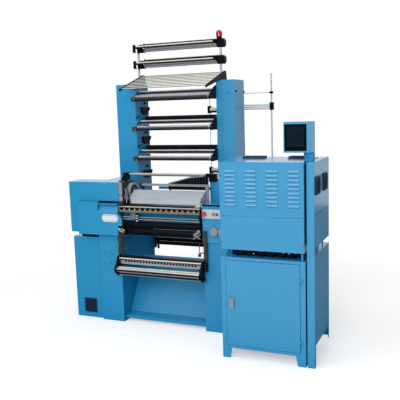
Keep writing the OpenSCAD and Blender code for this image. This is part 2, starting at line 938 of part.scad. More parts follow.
// Black frame parts of the take-down and the cloth delivery
module takedown_frame() {
    low = takedown_low_z - 25;
    color(dark) {
        takedown_side(left_side_x, [[-86, 845], [-57, 845], [-57, 815], [-40, 800], [-40, low], [-86, low]]);
        takedown_side(right_side_x, [[bed_front, bed_low], [-57, bed_low], [-57, 815], [-40, 800],
            [-40, low], [-104, low], [-112, 800], [bed_front, 822]]);
        delivery_arm(left_arm_x, left_arm_x - arm_boss_t);
        delivery_arm(right_arm_x, right_arm_x + arm_w);
        box(inner_l, inner_r, -85, -45, 488, 514);
        box(left_arm_x + arm_w, -513, -121, arm_back, 456, 512);
        box(76, 143, -121, arm_back, 452, 517);
    }
}

strut_w = 26;
strut_t = 12;
strut_front = -109;
strut_left_x = -575;
strut_right_x = 115;
strut_low = 486;
pull_y = strut_front + 6;
pull_left_x = -506;
pull_right_x = 81;

// Tension screw with a round knob, joined to its strut by a stub
module tension_screw(x, stub_x0, stub_x1, stub_z, knob_z0, knob_z1, top) {
    x_bar(4, stub_x0, stub_x1, pull_y, stub_z);
    z_bar(12, knob_z0, knob_z1, x, pull_y);
    z_bar(3, knob_z1, top, x, pull_y);
}

// Upright flat bars, their tension screws and the end blocks of the feed stages
module steel_brackets() {
    strut_back = strut_front + strut_t;
    strut_right_end = strut_right_x + strut_w;
    color(tan_steel) {
        box(strut_left_x, strut_left_x + strut_w, strut_front, strut_back, strut_low, cover_low - 1);
        box(inner_l + 1, cover_nose_x + 1, strut_front, strut_back, 655, 733);
        box(strut_right_x, strut_right_end, strut_front, strut_back, strut_low, 738);
        for (z = [536, 628]) {
            box(strut_left_x - 12, inner_l, strut_back, frame_front, z, z + 24);
            box(strut_right_x, strut_right_end, strut_back, frame_front, z, z + 24);
        }
        tension_screw(pull_left_x, strut_left_x + strut_w, pull_left_x, 574, 552, 583, 649);
        tension_screw(pull_right_x, pull_right_x, strut_right_x, 579, 553, 571, 637);
        for (z = stage_z) {
            difference() {
                box(arm_x, end_block_x, feed_y - 27, feed_y + 25, z - 22, z + 12);
                x_bar(journal_r + fit, arm_x - 1, end_block_x + 1, feed_y, z);
            }
        }
    }
}

// Notched bar that spreads the cloth over the delivery rollers
module delivery_comb() {
    notches = 24;
    x0 = left_arm_x + arm_w + 2;
    x1 = right_arm_x - 12;
    step = (x1 - x0 - 60) / notches;
    color(steel) difference() {
        box(x0, x1, -127, -121, 466, 493);
        for (i = [0 : notches - 1]) {
            y_bar(step * 0.36, -130, -120, x0 + 30 + (i + 0.5) * step, 487);
        }
    }
}

// Gear with straight-flanked teeth, tooth 0 along +Y when turned by phase
module spur_gear(x0, x1, y, z, phase) {
    pitch_r = takedown_pitch / 2;
    yz_prism(x0, x1) translate([y, z]) rotate(phase) union() {
        circle(pitch_r - 2.4);
        for (i = [0 : gear_teeth - 1]) {
            rotate(i * 360 / gear_teeth)
                polygon([[pitch_r - 4, -1.9], [pitch_r - 4, 1.9], [pitch_r + 1.5, 0.8], [pitch_r + 1.5, -0.8]]);
        }
    }
}

takedown_roller_l = -490;
takedown_roller_r = 84;

module takedown_roller(z, phase) {
    x_bar(takedown_r, takedown_roller_l, takedown_roller_r, takedown_y, z);
    x_bar(journal_r, left_side_x + 1, right_side_x + side_t - 1, takedown_y, z);
    spur_gear(-528, -508, takedown_y, z, phase);
}

module takedown_roller_upper() {
    color(rubber) {
        takedown_roller(takedown_z, -90);
        x_bar(30, -506, -497, takedown_y, takedown_z);
    }
}

module takedown_roller_lower() {
    color(rubber) takedown_roller(takedown_low_z, 90 + 180 / gear_teeth);
}

module delivery_roller(y, z) {
    x_bar(delivery_r, left_arm_x + arm_w + 2, right_arm_x - 2, y, z);
    x_bar(journal_r, left_arm_x + 2, right_arm_x + arm_w - 2, y, z);
}

module delivery_roller_front() {
    color(chrome) delivery_roller(delivery_front_y, delivery_front_z);
}

module delivery_roller_rear() {
    color(chrome) delivery_roller(delivery_rear_y, delivery_rear_z);
}

// Fixed round rods: rod rack, rack arms, bed guides, delivery, rear and tower
module tie_rods() {
    color(chrome) {
        for (i = [0 : rack_rods - 1]) {
            y = tip_y + 32 + i * rack_rod_step;
            x_bar(rack_rod_r, left_plate_x + plate_t, right_plate_x, y, tip_z + (y - tip_y) * rack_slope);
        }
        for (z = rack_z) {
            x_bar(7, left_rack_arm + plate_t, right_rack_arm, rack_arm_front, z + 16);
            x_bar(4.5, left_rack_arm + plate_t, right_rack_arm, rack_arm_back, z + 50);
        }
        for (z = [806, 790]) {
            x_bar(4, left_side_x + side_t, right_side_x, -55, z);
        }
        x_bar(7, left_arm_x + arm_w, right_arm_x, -138, delivery_z);
        x_bar(7, left_arm_x + arm_w, right_arm_x, -158, 444);
        x_bar(20, stub_x, inner_r, stub_y, 1575);
        x_bar(20, stub_x, inner_r, stub_y, 1120);
        z_bar(2.5, 1145, 1551, stub_x - 9, stub_y + 4);
        z_bar(2.5, 1606, 1690, stub_x - 9, stub_y + 4);
    }
}

// ---------- control cabinet ----------

cab_r = cab_x + cab_w;
louvre_w = 68;
louvre_pitch_x = 132.7;
louvre_pitch_z = 26;
louvre_x0 = cab_x + 36;
louvre_z0 = 990;

handle_x = [472, 773];
handle_w = 131;
handle_y0 = -240;
handle_y1 = -170;

// Upper cabinet, open at the front above the seam
module upper_cabinet() {
    color(blue) difference() {
        box(cab_x, cab_r, cab_front, cab_back, cab_low, cab_top);
        box(cab_x + sheet, cab_r - sheet, cab_front + sheet, cab_back - sheet, cab_low + sheet, cab_top - sheet);
        box(cab_x + 12, cab_r - 12, cab_front - 1, cab_front + sheet + 1, seam_z + 12, cab_top - 12);
        box(cab_x - 1, cab_r + 1, cab_front - 1, cab_front + 2, seam_z, cab_top + 1);
        for (x = handle_x) {
            box(x, x + handle_w, handle_y0, handle_y1, cab_top - sheet - 1, cab_top + 1);
        }
    }
}

// Front panel with rows of pressed louvres
module louvre_panel() {
    t = 2;
    color(blue) {
        difference() {
            box(cab_x, cab_r, cab_front, cab_front + t, seam_z + 1.5, cab_top);
            for (i = [0 : louvre_cols - 1]) for (k = [0 : louvre_rows - 1]) {
                translate([louvre_x0 + i * louvre_pitch_x, cab_front - 1, louvre_z0 + k * louvre_pitch_z])
                    cube([louvre_w, t + 2, 7]);
            }
        }
        for (i = [0 : louvre_cols - 1]) for (k = [0 : louvre_rows - 1]) {
            louvre_hood(louvre_x0 + i * louvre_pitch_x, louvre_z0 + k * louvre_pitch_z);
        }
    }
}

// Sloping hood over one louvre slot
module louvre_hood(x, z) {
    yz_prism(x, x + louvre_w) polygon([
        [cab_front, z + 7], [cab_front, z + 13], [cab_front - 6, z + 3], [cab_front - 6, z + 1.5],
        [cab_front - 4.8, z + 1.5]]);
}

base_x0 = 389;
base_x1 = 932;
base_front = -483;
door_x0 = 422;
door_x1 = 897;
door_z0 = 88;
door_z1 = 642;
door_t = 18;
door_gap = 2;
hinge_x = door_x1 + 7;
hinge_y = base_front - 4;
hinge_r = 4;
hinge_len = 32;
hinge_z = [150, 540];

// Lower cabinet with four legs, a corner post under the upper cabinet and a mounting plate
module lower_cabinet() {
    leg_w = 50;
    leg_taper = 14;
    rear_inset = 34;
    rear_w = 30;
    color(blue) {
        difference() {
            box(base_x0, base_x1, base_front, cab_back, 0, base_top);
            box(base_x0 + sheet, base_x1 - sheet, base_front + sheet, cab_back - sheet, leg_h + sheet,
                base_top - sheet);
            box(door_x0 - door_gap, door_x1 + door_gap, base_front - 1, base_front + sheet + 1,
                door_z0 - door_gap, door_z1 + door_gap);
            xz_prism(base_front - 1, cab_back + 1) polygon([
                [base_x0 + leg_w, -1], [base_x1 - leg_w, -1], [base_x1 - leg_w - leg_taper, leg_h],
                [base_x0 + leg_w + leg_taper, leg_h]]);
            box(base_x0 - 1, base_x1 + 1, base_front + leg_w, cab_back + 1, -1, leg_h);
            box(base_x0 + sheet, base_x1 - sheet, base_front + sheet, cab_back - sheet, -1, leg_h);
        }
        for (x = [base_x0 + rear_inset, base_x1 - rear_inset - rear_w]) {
            box(x, x + rear_w, cab_back - rear_w, cab_back, 0, leg_h);
        }
        box(904, 916, base_front + 13, base_front + 25, base_top, cab_low);
        for (z = hinge_z) {
            hinge_half(z, base_x1 - 14);
        }
    }
    color(blue) box(base_x0 + 40, base_x1 - 40, cab_back - 45, cab_back - 42, leg_h + sheet, base_top - 40);
}

pin_r = 2.2;

// Fixed hinge leaf with the pin standing on it
module hinge_half(z, leaf_end) {
    box(hinge_x + 4.5, leaf_end, base_front - 2, base_front, z - hinge_len / 2, z + hinge_len / 2);
    box(hinge_x - 2, hinge_x + 6, base_front - 2, base_front, z - hinge_len / 2, z - 0.5);
    translate([hinge_x, hinge_y, z - hinge_len / 2]) cylinder(r = hinge_r, h = hinge_len / 2 - 0.5);
    translate([hinge_x, hinge_y, z - 1]) cylinder(r = pin_r, h = hinge_len / 2);
    box(hinge_x - 2, hinge_x + 2, hinge_y, base_front, z - hinge_len / 2, z - 0.5);
}

latch_x = 460;
latch_z = 367;

// Pan-shaped door with hinge barrels and a latch hole
module cabinet_door() {
    color(blue) {
        difference() {
            box(door_x0, door_x1, base_front - 2, base_front - 2 + door_t, door_z0, door_z1);
            box(door_x0 + 2, door_x1 - 2, base_front, base_front + door_t, door_z0 + 2, door_z1 - 2);
            y_bar(8 + fit, base_front - 3, base_front + 1, latch_x, latch_z);
        }
        for (z = hinge_z) {
            difference() {
                union() {
                    translate([hinge_x, hinge_y, z]) cylinder(r = hinge_r, h = hinge_len / 2);
                    box(hinge_x - 16, hinge_x, hinge_y - 1.5, hinge_y + 1.5, z, z + hinge_len / 2);
                    box(hinge_x - 18, hinge_x - 8, hinge_y - 1.5, base_front - 2, z, z + hinge_len / 2);
                }
                translate([hinge_x, hinge_y, z - 1]) cylinder(r = pin_r + fit, h = hinge_len / 2 + 2);
            }
        }
    }
}

// Flush lock with a swing lever
module door_latch() {
    color(chrome) {
        y_bar(8, base_front - 8, base_front + 6, latch_x, latch_z);
        box(latch_x - 13, latch_x + 13, base_front - 14, base_front - 3, latch_z - 36, latch_z + 36);
        box(latch_x - 33, latch_x + 8, base_front + 6, base_front + 9, latch_z - 8, latch_z + 8);
    }
}

side_x0 = 942;
side_x1 = 987;
side_back = -66;
post_depth = 30;
fan_z = 1117;
fan_y = [-410, -201];
fan_proud = 11;
foot_x = 936;
foot_y = -380;
foot_r = 33;
foot_h = 50;
swivel_r = 12;

// Narrow side cabinet with the front post, the fan holes and the display foot
module side_cabinet() {
    y0 = base_front + sheet;
    y1 = side_back - sheet;
    rear_bar = 8;
    color(blue) difference() {
        union() {
            box(side_x0, side_x1, base_front, side_back, 0, cab_top);
            z_bar(foot_r, cab_top, cab_top + foot_h, foot_x, foot_y);
        }
        box(side_x0 + sheet, side_x1 - sheet, y0, y1, 748, cab_top - sheet);
        box(side_x0 + sheet, side_x1 - sheet, y0, y1, -1, 697);
        box(side_x0 + rear_bar, side_x1 + 1, base_front + post_depth, side_back + 1, 700, 745);
        box(side_x0 - 1, side_x0 + rear_bar + 1, base_front + post_depth, side_back - rear_bar, 700, 745);
        box(side_x0 - 1, side_x1 + 1, base_front + post_depth, side_back - 14, -1, 138);
        box(side_x0 - 1, side_x1 - sheet, base_front + post_depth, side_back + 1, -1, 68);
        box(side_x1 - sheet - 1, side_x1 + 1, base_front + post_depth, side_back + 1, -1, 54);
        for (y = fan_y) {
            box(side_x0 + 12, side_x1 + 1, y - fan_size / 2 - 0.5, y + fan_size / 2 + 0.5,
                fan_z - fan_size / 2 - 0.5, fan_z + fan_size / 2 + 0.5);
        }
        z_bar(swivel_r + fit, cab_top + 10, cab_top + foot_h + 1, foot_x, foot_y);
    }
}

fan_depth = 38;
fan_x1 = side_x1 + fan_proud;
fan_x0 = fan_x1 - fan_depth;
duct_r = fan_size / 2 - 3;
hub_r = 20;

// Fan housing with a round duct, a wire guard and a stator
module fan_frame(y) {
    ring_w = 2;
    difference() {
        box(fan_x0, fan_x1, y - fan_size / 2, y + fan_size / 2, fan_z - fan_size / 2, fan_z + fan_size / 2);
        x_bar(duct_r, fan_x0 - 1, fan_x1 + 1, y, fan_z);
    }
    for (r = [21, 34, 47]) {
        yz_prism(fan_x1 - 3, fan_x1) translate([y, fan_z]) difference() {
            circle(r + ring_w);
            circle(r);
        }
    }
    yz_prism(fan_x1 - 3, fan_x1) translate([y, fan_z]) {
        for (a = [0, 90]) rotate(a + 45) square([2 * duct_r + 1, 3], center = true);
    }
    yz_prism(fan_x0, fan_x0 + 4) translate([y, fan_z]) {
        circle(hub_r);
        for (a = [0, 90]) rotate(a) square([2 * duct_r + 1, 6], center = true);
    }
}

// Square vent grille of the motor cabinet
module vent_grille() {
    half = vent_size / 2;
    box(vent_x - half, vent_x + half, motor_y - 4, motor_y, vent_z - half, vent_z + half);
}

module fan_frames() {
    color(dark) {
        for (y = fan_y) {
            fan_frame(y);
        }
        difference() {
            vent_grille();
            for (i = [0 : 6]) {
                box(vent_x - 46, vent_x + 46, motor_y - 5, motor_y + 1, vent_z - 48 + i * 14, vent_z - 41 + i * 14);
            }
        }
    }
}

// Fan wheel with seven pitched blades
module fan_rotor(y) {
    color([0.16, 0.16, 0.17]) translate([fan_x0 + 6, y, fan_z]) rotate([0, 90, 0]) {
        cylinder(r = hub_r, h = 22);
        for (i = [0 : 6]) {
            rotate(i * 360 / 7) translate([hub_r - 2, 0, 11]) rotate([38, 0, 0])
                translate([0, -11, -0.8]) cube([duct_r - hub_r, 22, 1.6]);
        }
    }
}

module fan_rotor_front() {
    fan_rotor(fan_y[0]);
}

module fan_rotor_rear() {
    fan_rotor(fan_y[1]);
}

display_x0 = 793;
display_x1 = 960;
display_front = -436;
display_z0 = 1312;
display_z1 = 1494;

// Swivelling housing with a recessed screen
module display_unit() {
    depth = 100;
    bezel = 5;
    color(blue) {
        difference() {
            box(display_x0, display_x1, display_front, display_front + depth, display_z0, display_z1);
            box(display_x0 + bezel, display_x0 + bezel + 135, display_front - 1, display_front + 3,
                display_z0 + 10, display_z0 + 169);
        }
        z_bar(swivel_r, cab_top + 11, display_z0, foot_x, foot_y);
    }
}

// Screw head on a face that looks to -Y
module front_screw(x, y, z) {
    y_bar(3.5, y - 2.5, y, x, z);
}

module screws() {
    color(chrome) {
        for (x = [cab_x + 10, cab_r - 7]) for (z = [seam_z + 14, 1066]) front_screw(x, cab_front, z);
        front_screw(cab_r - 7, cab_front, cab_top - 19);
        for (x = [cab_x + 98, cab_x + 213, cab_x + 337, cab_r - 7]) front_screw(x, cab_front, seam_z - 8);
        for (x = [cab_x + 8, cab_r - 7]) front_screw(x, cab_front, 761);
        for (p = [[cover_l + 6, 914], [cover_l + 6, 797], [-738, 681]]) {
            front_screw(p[0], frame_front - cover_t, p[1]);
        }
        for (p = [[152, 907.5], [270, 907.5], [165, 703], [270, 668]]) {
            front_screw(p[0], frame_front - panel_cover_t, p[1]);
        }
        for (p = [[129, 505], [130, 483], [129, 465]]) {
            front_screw(p[0], -121, p[1]);
        }
        for (z = [548, 610, 640]) {
            front_screw(strut_right_x + strut_w / 2, strut_front, z);
            front_screw(strut_left_x + strut_w / 2, strut_front, z);
        }
    }
}

// ---------- all nodes ----------

left_side_frame();
right_side_frame();
left_tower_column();
right_tower_column();
motor_cabinet();
left_drive_box();
left_front_cover();
right_drive_box();
right_front_cover();
control_panel();
shaft_caps();
main_beam();
cloth_chute();
bearing_blocks();
rack_brackets();
tie_rods();
rack_posts();
beacon_lens();
cam_housing();
guide_frame();
reed_comb();
needle_bed();
dark_spacers();
mechanism_cover();
takedown_frame();
steel_brackets();
delivery_comb();
upper_cabinet();
louvre_panel();
side_cabinet();
fan_frames();
lower_cabinet();
screws();
feed_roller_top();
feed_roller_middle();
feed_roller_low();
nip_roller_top();
nip_roller_middle();
nip_roller_low();
back_roller_middle();
back_roller_low();
rack_roller_top();
rack_roller_low();
warp_roller();
cam_shaft();
needle_bar();
weft_bar();
takedown_roller_upper();
takedown_roller_lower();
delivery_roller_front();
delivery_roller_rear();
rear_roller();
cabinet_door();
door_latch();
display_unit();
stop_mushroom();
start_button();
pause_button();
fan_rotor_front();
fan_rotor_rear();
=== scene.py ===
import json
import math
from collections import namedtuple

import bmesh
import bpy
from mathutils import Matrix, Vector


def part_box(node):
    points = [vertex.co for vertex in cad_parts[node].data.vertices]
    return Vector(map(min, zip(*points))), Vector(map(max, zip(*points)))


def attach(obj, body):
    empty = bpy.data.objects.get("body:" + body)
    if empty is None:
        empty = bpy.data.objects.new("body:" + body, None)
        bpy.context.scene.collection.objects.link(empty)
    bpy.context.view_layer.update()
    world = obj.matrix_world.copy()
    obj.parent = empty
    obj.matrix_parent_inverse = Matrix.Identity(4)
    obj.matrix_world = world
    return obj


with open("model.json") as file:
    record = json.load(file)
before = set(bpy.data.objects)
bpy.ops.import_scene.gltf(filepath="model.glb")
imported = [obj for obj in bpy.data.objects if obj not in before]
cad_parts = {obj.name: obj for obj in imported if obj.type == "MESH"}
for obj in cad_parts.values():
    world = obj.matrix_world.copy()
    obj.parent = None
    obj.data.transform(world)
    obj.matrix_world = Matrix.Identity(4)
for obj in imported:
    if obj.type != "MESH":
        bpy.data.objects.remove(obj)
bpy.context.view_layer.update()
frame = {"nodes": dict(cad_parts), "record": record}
NODES = frame["nodes"]
MM = 0.001


# ---------- camera ----------

AZIMUTH, ELEVATION, ROLL = (math.radians(d) for d in (23.29, 8.30, -1.81))
CAMERA_AT = Vector((1.8038, -4.0685, 1.5882))
SENSOR_MM = 36.0
FOCAL_PX = 625.75
IMAGE_PX = 400


def make_camera():
    """Camera that looks back along the azimuth and elevation, rolled about its own axis."""
    level = math.cos(ELEVATION)
    back = Vector((math.sin(AZIMUTH) * level, -math.cos(AZIMUTH) * level, math.sin(ELEVATION)))
    right = Vector((math.cos(AZIMUTH), math.sin(AZIMUTH), 0))
    up = back.cross(right)
    turned_right = right * math.cos(ROLL) + up * math.sin(ROLL)
    turned_up = up * math.cos(ROLL) - right * math.sin(ROLL)
    data = bpy.data.cameras.new("camera")
    data.sensor_width = SENSOR_MM
    data.lens = FOCAL_PX / IMAGE_PX * SENSOR_MM
    cam = bpy.data.objects.new("camera", data)
    cam.matrix_world = Matrix((
        (turned_right.x, turned_up.x, back.x, CAMERA_AT.x),
        (turned_right.y, turned_up.y, back.y, CAMERA_AT.y),
        (turned_right.z, turned_up.z, back.z, CAMERA_AT.z),
        (0, 0, 0, 1)))
    bpy.context.scene.collection.objects.link(cam)
    bpy.context.scene.camera = cam


make_camera()


# ---------- node trees ----------

def srgb(r, g, b):
    """Linear colour of an 8-bit screen colour."""
    def lin(v):
        v /= 255
        return v / 12.92 if v <= 0.04045 else ((v + 0.055) / 1.055) ** 2.4
    return (lin(r), lin(g), lin(b), 1)


def shade(color, factor):
    return (color[0] * factor, color[1] * factor, color[2] * factor, 1)


class Nodes:
    """Short calls for building the node tree of a material or a world."""

    def __init__(self, block, output="ShaderNodeOutputMaterial", coordinates="Object"):
        block.use_nodes = True
        self.block = block
        self.tree = block.node_tree
        self.tree.nodes.clear()
        self.out = self.add(output)
        self.where = self.add("ShaderNodeTexCoord").outputs[coordinates]

    def add(self, kind, **settings):
        node = self.tree.nodes.new(kind)
        for key, value in settings.items():
            setattr(node, key, value)
        return node

    def put(self, value, socket):
        """Link an output to the socket, or set the socket to a constant."""
        if isinstance(value, bpy.types.NodeSocket):
            self.tree.links.new(value, socket)
        else:
            socket.default_value = value

    def split(self, vector):
        """X, Y and Z outputs of a vector."""
        axes = self.add("ShaderNodeSeparateXYZ")
        self.put(vector, axes.inputs[0])
        return axes.outputs

    def along(self, axis):
        """Texture coordinate along X, Y or Z. On the machine it is the place in metres."""
        return self.split(self.where)[axis]

    def math(self, operation, a, b):
        node = self.add("ShaderNodeMath", operation=operation)
        self.put(a, node.inputs[0])
        self.put(b, node.inputs[1])
        return node.outputs[0]

    def noise(self, scale, detail=2.0, stretch=None):
        """Noise from about 0.3 to 0.7, drawn out along the axes whose stretch is under 1."""
        node = self.add("ShaderNodeTexNoise")
        node.inputs["Scale"].default_value = scale
        node.inputs["Detail"].default_value = detail
        where = self.where
        if stretch:
            mapping = self.add("ShaderNodeMapping")
            mapping.inputs["Scale"].default_value = stretch
            self.put(self.where, mapping.inputs["Vector"])
            where = mapping.outputs["Vector"]
        self.put(where, node.inputs["Vector"])
        return node.outputs["Fac"]

    def spread(self, value, low, high, from_low=0.3, from_high=0.7):
        """Value from from_low to from_high, mapped to low to high and held there outside."""
        node = self.add("ShaderNodeMapRange")
        node.inputs["From Min"].default_value = from_low
        node.inputs["From Max"].default_value = from_high
        node.inputs["To Min"].default_value = low
        node.inputs["To Max"].default_value = high
        self.put(value, node.inputs["Value"])
        return node.outputs["Result"]

    def step_up(self, value, at, soft=0.0003):
        """0 below the given coordinate, 1 above it."""
        return self.spread(value, 0.0, 1.0, at - soft, at + soft)

    def blend(self, factor, a, b):
        """Colour a at factor 0 and b at factor 1."""
        node = self.add("ShaderNodeMix", data_type="RGBA")
        color_a, color_b, color_out = node.inputs[6], node.inputs[7], node.outputs[2]
        self.put(factor, node.inputs[0])
        self.put(a, color_a)
        self.put(b, color_b)
        return color_out

    def mottle(self, scale, detail, a, b, amount=1.0):
        """Patches of b in a, at most by the given amount."""
        return self.blend(self.spread(self.noise(scale, detail), 0.0, amount), a, b)

    def in_corners(self, tint, color, reach, amount, shut=0.2, clear=0.9):
        """Painted shade: blend towards a darker colour where other surfaces stand within reach.

        The blend is the given amount where the view out is down to shut, and none from clear up.
        """
        near = self.add("ShaderNodeAmbientOcclusion", samples=4)
        near.inputs["Distance"].default_value = reach
        return self.blend(self.spread(near.outputs["AO"], amount, 0.0, shut, clear), tint, color)

    def principled(self, tint, fine, rough, rough_spread, bump, depth, edge):
        """Principled shader with the tint, fine roughness, a grain bump and soft edges."""
        bsdf = self.add("ShaderNodeBsdfPrincipled")
        self.put(tint, bsdf.inputs["Base Color"])
        self.put(self.spread(fine, rough - rough_spread, rough + rough_spread), bsdf.inputs["Roughness"])
        grain = self.add("ShaderNodeBump")
        grain.inputs["Strength"].default_value = bump
        grain.inputs["Distance"].default_value = depth
        self.put(fine, grain.inputs["Height"])
        soft = self.add("ShaderNodeBevel", samples=4)
        soft.inputs["Radius"].default_value = edge
        self.put(soft.outputs["Normal"], grain.inputs["Normal"])
        self.put(grain.outputs["Normal"], bsdf.inputs["Normal"])
        self.put(bsdf.outputs["BSDF"], self.out.inputs["Surface"])
        return bsdf


def new_material(name):
    return Nodes(bpy.data.materials.new(name))


# ---------- materials ----------

ROUND = (1.0, 0.05, 0.05)
LENGTHWAYS = (0.03, 1.0, 1.0)
DIRT_AND_SHADE_REACH = 0.03
COAT_ROUGHNESS = 0.12


def surface(name, color, rough, metal=0.0, vary=0.06, vary_scale=3.0, grain=700.0, stretch=None, bump=0.15,
            edge=0.0012, coat=0.0, specular=0.5, dirt_and_shade=0.25):
    """Metal, rubber or plastic: colour variation, grain, soft edges, and dirt with painted shade in the
    corners.
    """
    n = new_material(name)
    tint = n.mottle(vary_scale, 3.0, shade(color, 1 - vary), shade(color, 1 + vary))
    # painted shade and dirt: a quarter-bright copy of the colour where other surfaces stand near
    tint = n.in_corners(tint, shade(color, 0.25), DIRT_AND_SHADE_REACH, dirt_and_shade)
    bsdf = n.principled(tint, n.noise(grain, stretch=stretch), rough=rough, rough_spread=0.05,
                        bump=bump, depth=0.0002, edge=edge)
    bsdf.inputs["Metallic"].default_value = metal
    bsdf.inputs["Specular IOR Level"].default_value = specular
    bsdf.inputs["Coat Weight"].default_value = coat
    bsdf.inputs["Coat Roughness"].default_value = COAT_ROUGHNESS
    return n.block


def blue_paint():
    """Glossy powder coat with faint orange peel.

    It has painted shade: deeper to the left, in recesses, on the faces that point right in the left part,
    and in corners.
    """
    n = new_material("powder_blue")
    place = n.split(n.where)
    # painted shade: the blue is deeper to the left, where less light falls
    tint = n.blend(n.spread(place["X"], 0.0, 1.0, -1.0, 0.5), srgb(42, 154, 203), srgb(76, 161, 209))
    tint = n.mottle(2.2, 3.0, tint, srgb(60, 150, 202), 0.10)
    # painted shade: a deeper blue in recesses
    tint = n.in_corners(tint, srgb(0, 142, 196), reach=0.35, amount=0.7, shut=0.35)
    # painted shade: a deeper blue on the faces that point right, left of x = 0.2 m
    normal = n.split(n.add("ShaderNodeNewGeometry").outputs["Normal"])
    points_right = n.spread(normal["X"], 0.0, 0.9, 0.6, 0.8)
    left_part = n.spread(place["X"], 1.0, 0.0, 0.15, 0.2)
    tint = n.blend(n.math("MULTIPLY", points_right, left_part), tint, srgb(0, 122, 170))
    # painted shade and dirt: dark blue in tight corners
    tint = n.in_corners(tint, srgb(6, 50, 78), reach=0.02, amount=0.5, shut=0.15, clear=0.75)
    n.principled(tint, n.noise(420), rough=0.20, rough_spread=0.03,
                 bump=0.05, depth=0.0003, edge=0.0014)
    return n.block


def bed_steel():
    """Needle bed: pale lip and front bar, with painted shade: dark grooves on top, dark pocket walls and
    dark corners.
    """
    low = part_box("needle_bed")[0]
    lip_z, deck_z, lip_top_z = low.z + 0.0352, low.z + 0.036, low.z + 0.0395
    front_y, groove_y = low.y + 0.0005, low.y + 0.0030
    n = new_material("bed_steel")
    bar = srgb(142, 136, 120)
    y, z = n.along("Y"), n.along("Z")
    tint = n.mottle(12, 3.0, shade(bar, 0.85), shade(bar, 1.15))
    tint = n.blend(n.step_up(z, lip_z), tint, srgb(112, 110, 88))
    tint = n.blend(n.step_up(z, lip_top_z, 0.001), tint, srgb(232, 230, 214))
    # painted shade: the pocket walls under the lip are near black
    under_lip = n.spread(z, 1.0, 0.0, low.z + 0.0345, lip_z)
    tint = n.blend(n.math("MULTIPLY", n.step_up(y, front_y), under_lip), tint, srgb(10, 10, 11))
    # painted shade: the grooves and needles on top, behind the front, are dark
    tint = n.blend(n.math("MULTIPLY", n.step_up(y, groove_y), n.step_up(z, deck_z)), tint, srgb(26, 25, 24))
    # painted shade in corners
    tint = n.in_corners(tint, shade(bar, 0.15), reach=0.01, amount=0.6)
    bsdf = n.principled(tint, n.noise(600, stretch=LENGTHWAYS), rough=0.36, rough_spread=0.06,
                        bump=0.08, depth=0.0002, edge=0.0006)
    bsdf.inputs["Metallic"].default_value = 0.2
    return n.block


def brushed_cover():
    """Folded sheet cover with long brush bands across its width, and painted shade in its corners."""
    n = new_material("brushed_cover")
    color = srgb(184, 195, 202)
    bands = n.spread(n.noise(26, stretch=(0.04, 0.6, 1.0)), 0.0, 1.0, 0.35, 0.65)
    tint = n.blend(bands, shade(color, 0.84), shade(color, 1.06))
    tint = n.mottle(5, 2.0, tint, srgb(196, 196, 206), 0.35)
    # painted shade in corners
    tint = n.in_corners(tint, shade(color, 0.3), reach=0.02, amount=0.4)
    bsdf = n.principled(tint, n.noise(500, stretch=LENGTHWAYS), rough=0.42, rough_spread=0.05,
                        bump=0.12, depth=0.0002, edge=0.002)
    bsdf.inputs["Metallic"].default_value = 0.15
    return n.block


def cam_casting():
    """Cast housing: pale front plate and ring, with painted shade: a near-black recess between them and dark
    corners.
    """
    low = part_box("cam_housing")[0]
    n = new_material("cast_aluminium")
    color = srgb(172, 180, 190)
    x = n.along("X")
    tint = n.mottle(14, 3.0, shade(color, 0.92), shade(color, 1.06))
    # painted shade: the recess between the front plate and the ring is near black
    plate_back, ring_edge, ring_face = low.x + 0.031, low.x + 0.0492, low.x + 0.0496
    before_ring = n.spread(x, 1.0, 0.0, ring_edge, ring_face)
    recess = n.math("MULTIPLY", n.step_up(x, plate_back), before_ring)
    tint = n.blend(recess, tint, srgb(40, 42, 48))
    # painted shade in corners
    tint = n.in_corners(tint, shade(color, 0.12), reach=0.03, amount=0.7)
    bsdf = n.principled(tint, n.noise(350), rough=0.5, rough_spread=0.06,
                        bump=0.35, depth=0.0002, edge=0.0012)
    bsdf.inputs["Metallic"].default_value = 0.35
    return n.block


def turned(name, top, front, under, rough, metal, below=(-0.6, -0.15), stretch=ROUND):
    """Turned or drawn round bar with faint tool marks, and painted light, shade and reflection by how far
    each face points up.

    The part that faces up has the top colour, and the underneath begins in the range below.
    """
    n = new_material(name)
    facing = n.split(n.add("ShaderNodeNewGeometry").outputs["Normal"])["Z"]
    # painted light, shade and reflection: the colour follows the world direction each face points
    tint = n.blend(n.spread(facing, 0.0, 1.0, *below), under, front)
    tint = n.blend(n.spread(facing, 0.0, 1.0, 0.3, 0.8), tint, top)
    tint = n.mottle(9, 3.0, tint, shade(front, 0.7), 0.12)
    bsdf = n.principled(tint, n.noise(600, stretch=stretch), rough=rough, rough_spread=0.04,
                        bump=0.03, depth=0.0001, edge=0.0005)
    bsdf.inputs["Metallic"].default_value = metal
    return n.block


def matte_black(n, tint):
    bsdf = n.principled(tint, n.noise(500), rough=0.5, rough_spread=0.05,
                        bump=0.1, depth=0.0002, edge=0.0008)
    bsdf.inputs["Specular IOR Level"].default_value = 0.08
    return n.block


def spacer_black():
    """Spacers between the housings, painted blue-black as the shade in the gaps, greyer for the two vents on
    the cabinet's top.
    """
    vent_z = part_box("dark_spacers")[1].z - 0.020
    n = new_material("spacer_black")
    # painted shade: blue-black stands for the shade in the gaps between the housings
    tint = n.mottle(12, 3.0, srgb(5, 20, 34), srgb(9, 32, 52))
    return matte_black(n, n.blend(n.step_up(n.along("Z"), vent_z), tint, srgb(62, 72, 88)))


def reed_black():
    """Black reed comb with faint grey dents between its ribs."""
    n = new_material("reed_black")
    stripes = n.add("ShaderNodeTexWave", wave_type="BANDS", bands_direction="X", wave_profile="SIN")
    stripes.inputs["Scale"].default_value = 14.0
    stripes.inputs["Distortion"].default_value = 0.0
    n.put(n.where, stripes.inputs["Vector"])
    dents = n.spread(stripes.outputs["Fac"], 0.0, 1.0, 0.55, 0.9)
    return matte_black(n, n.blend(dents, srgb(12, 12, 15), srgb(44, 54, 66)))


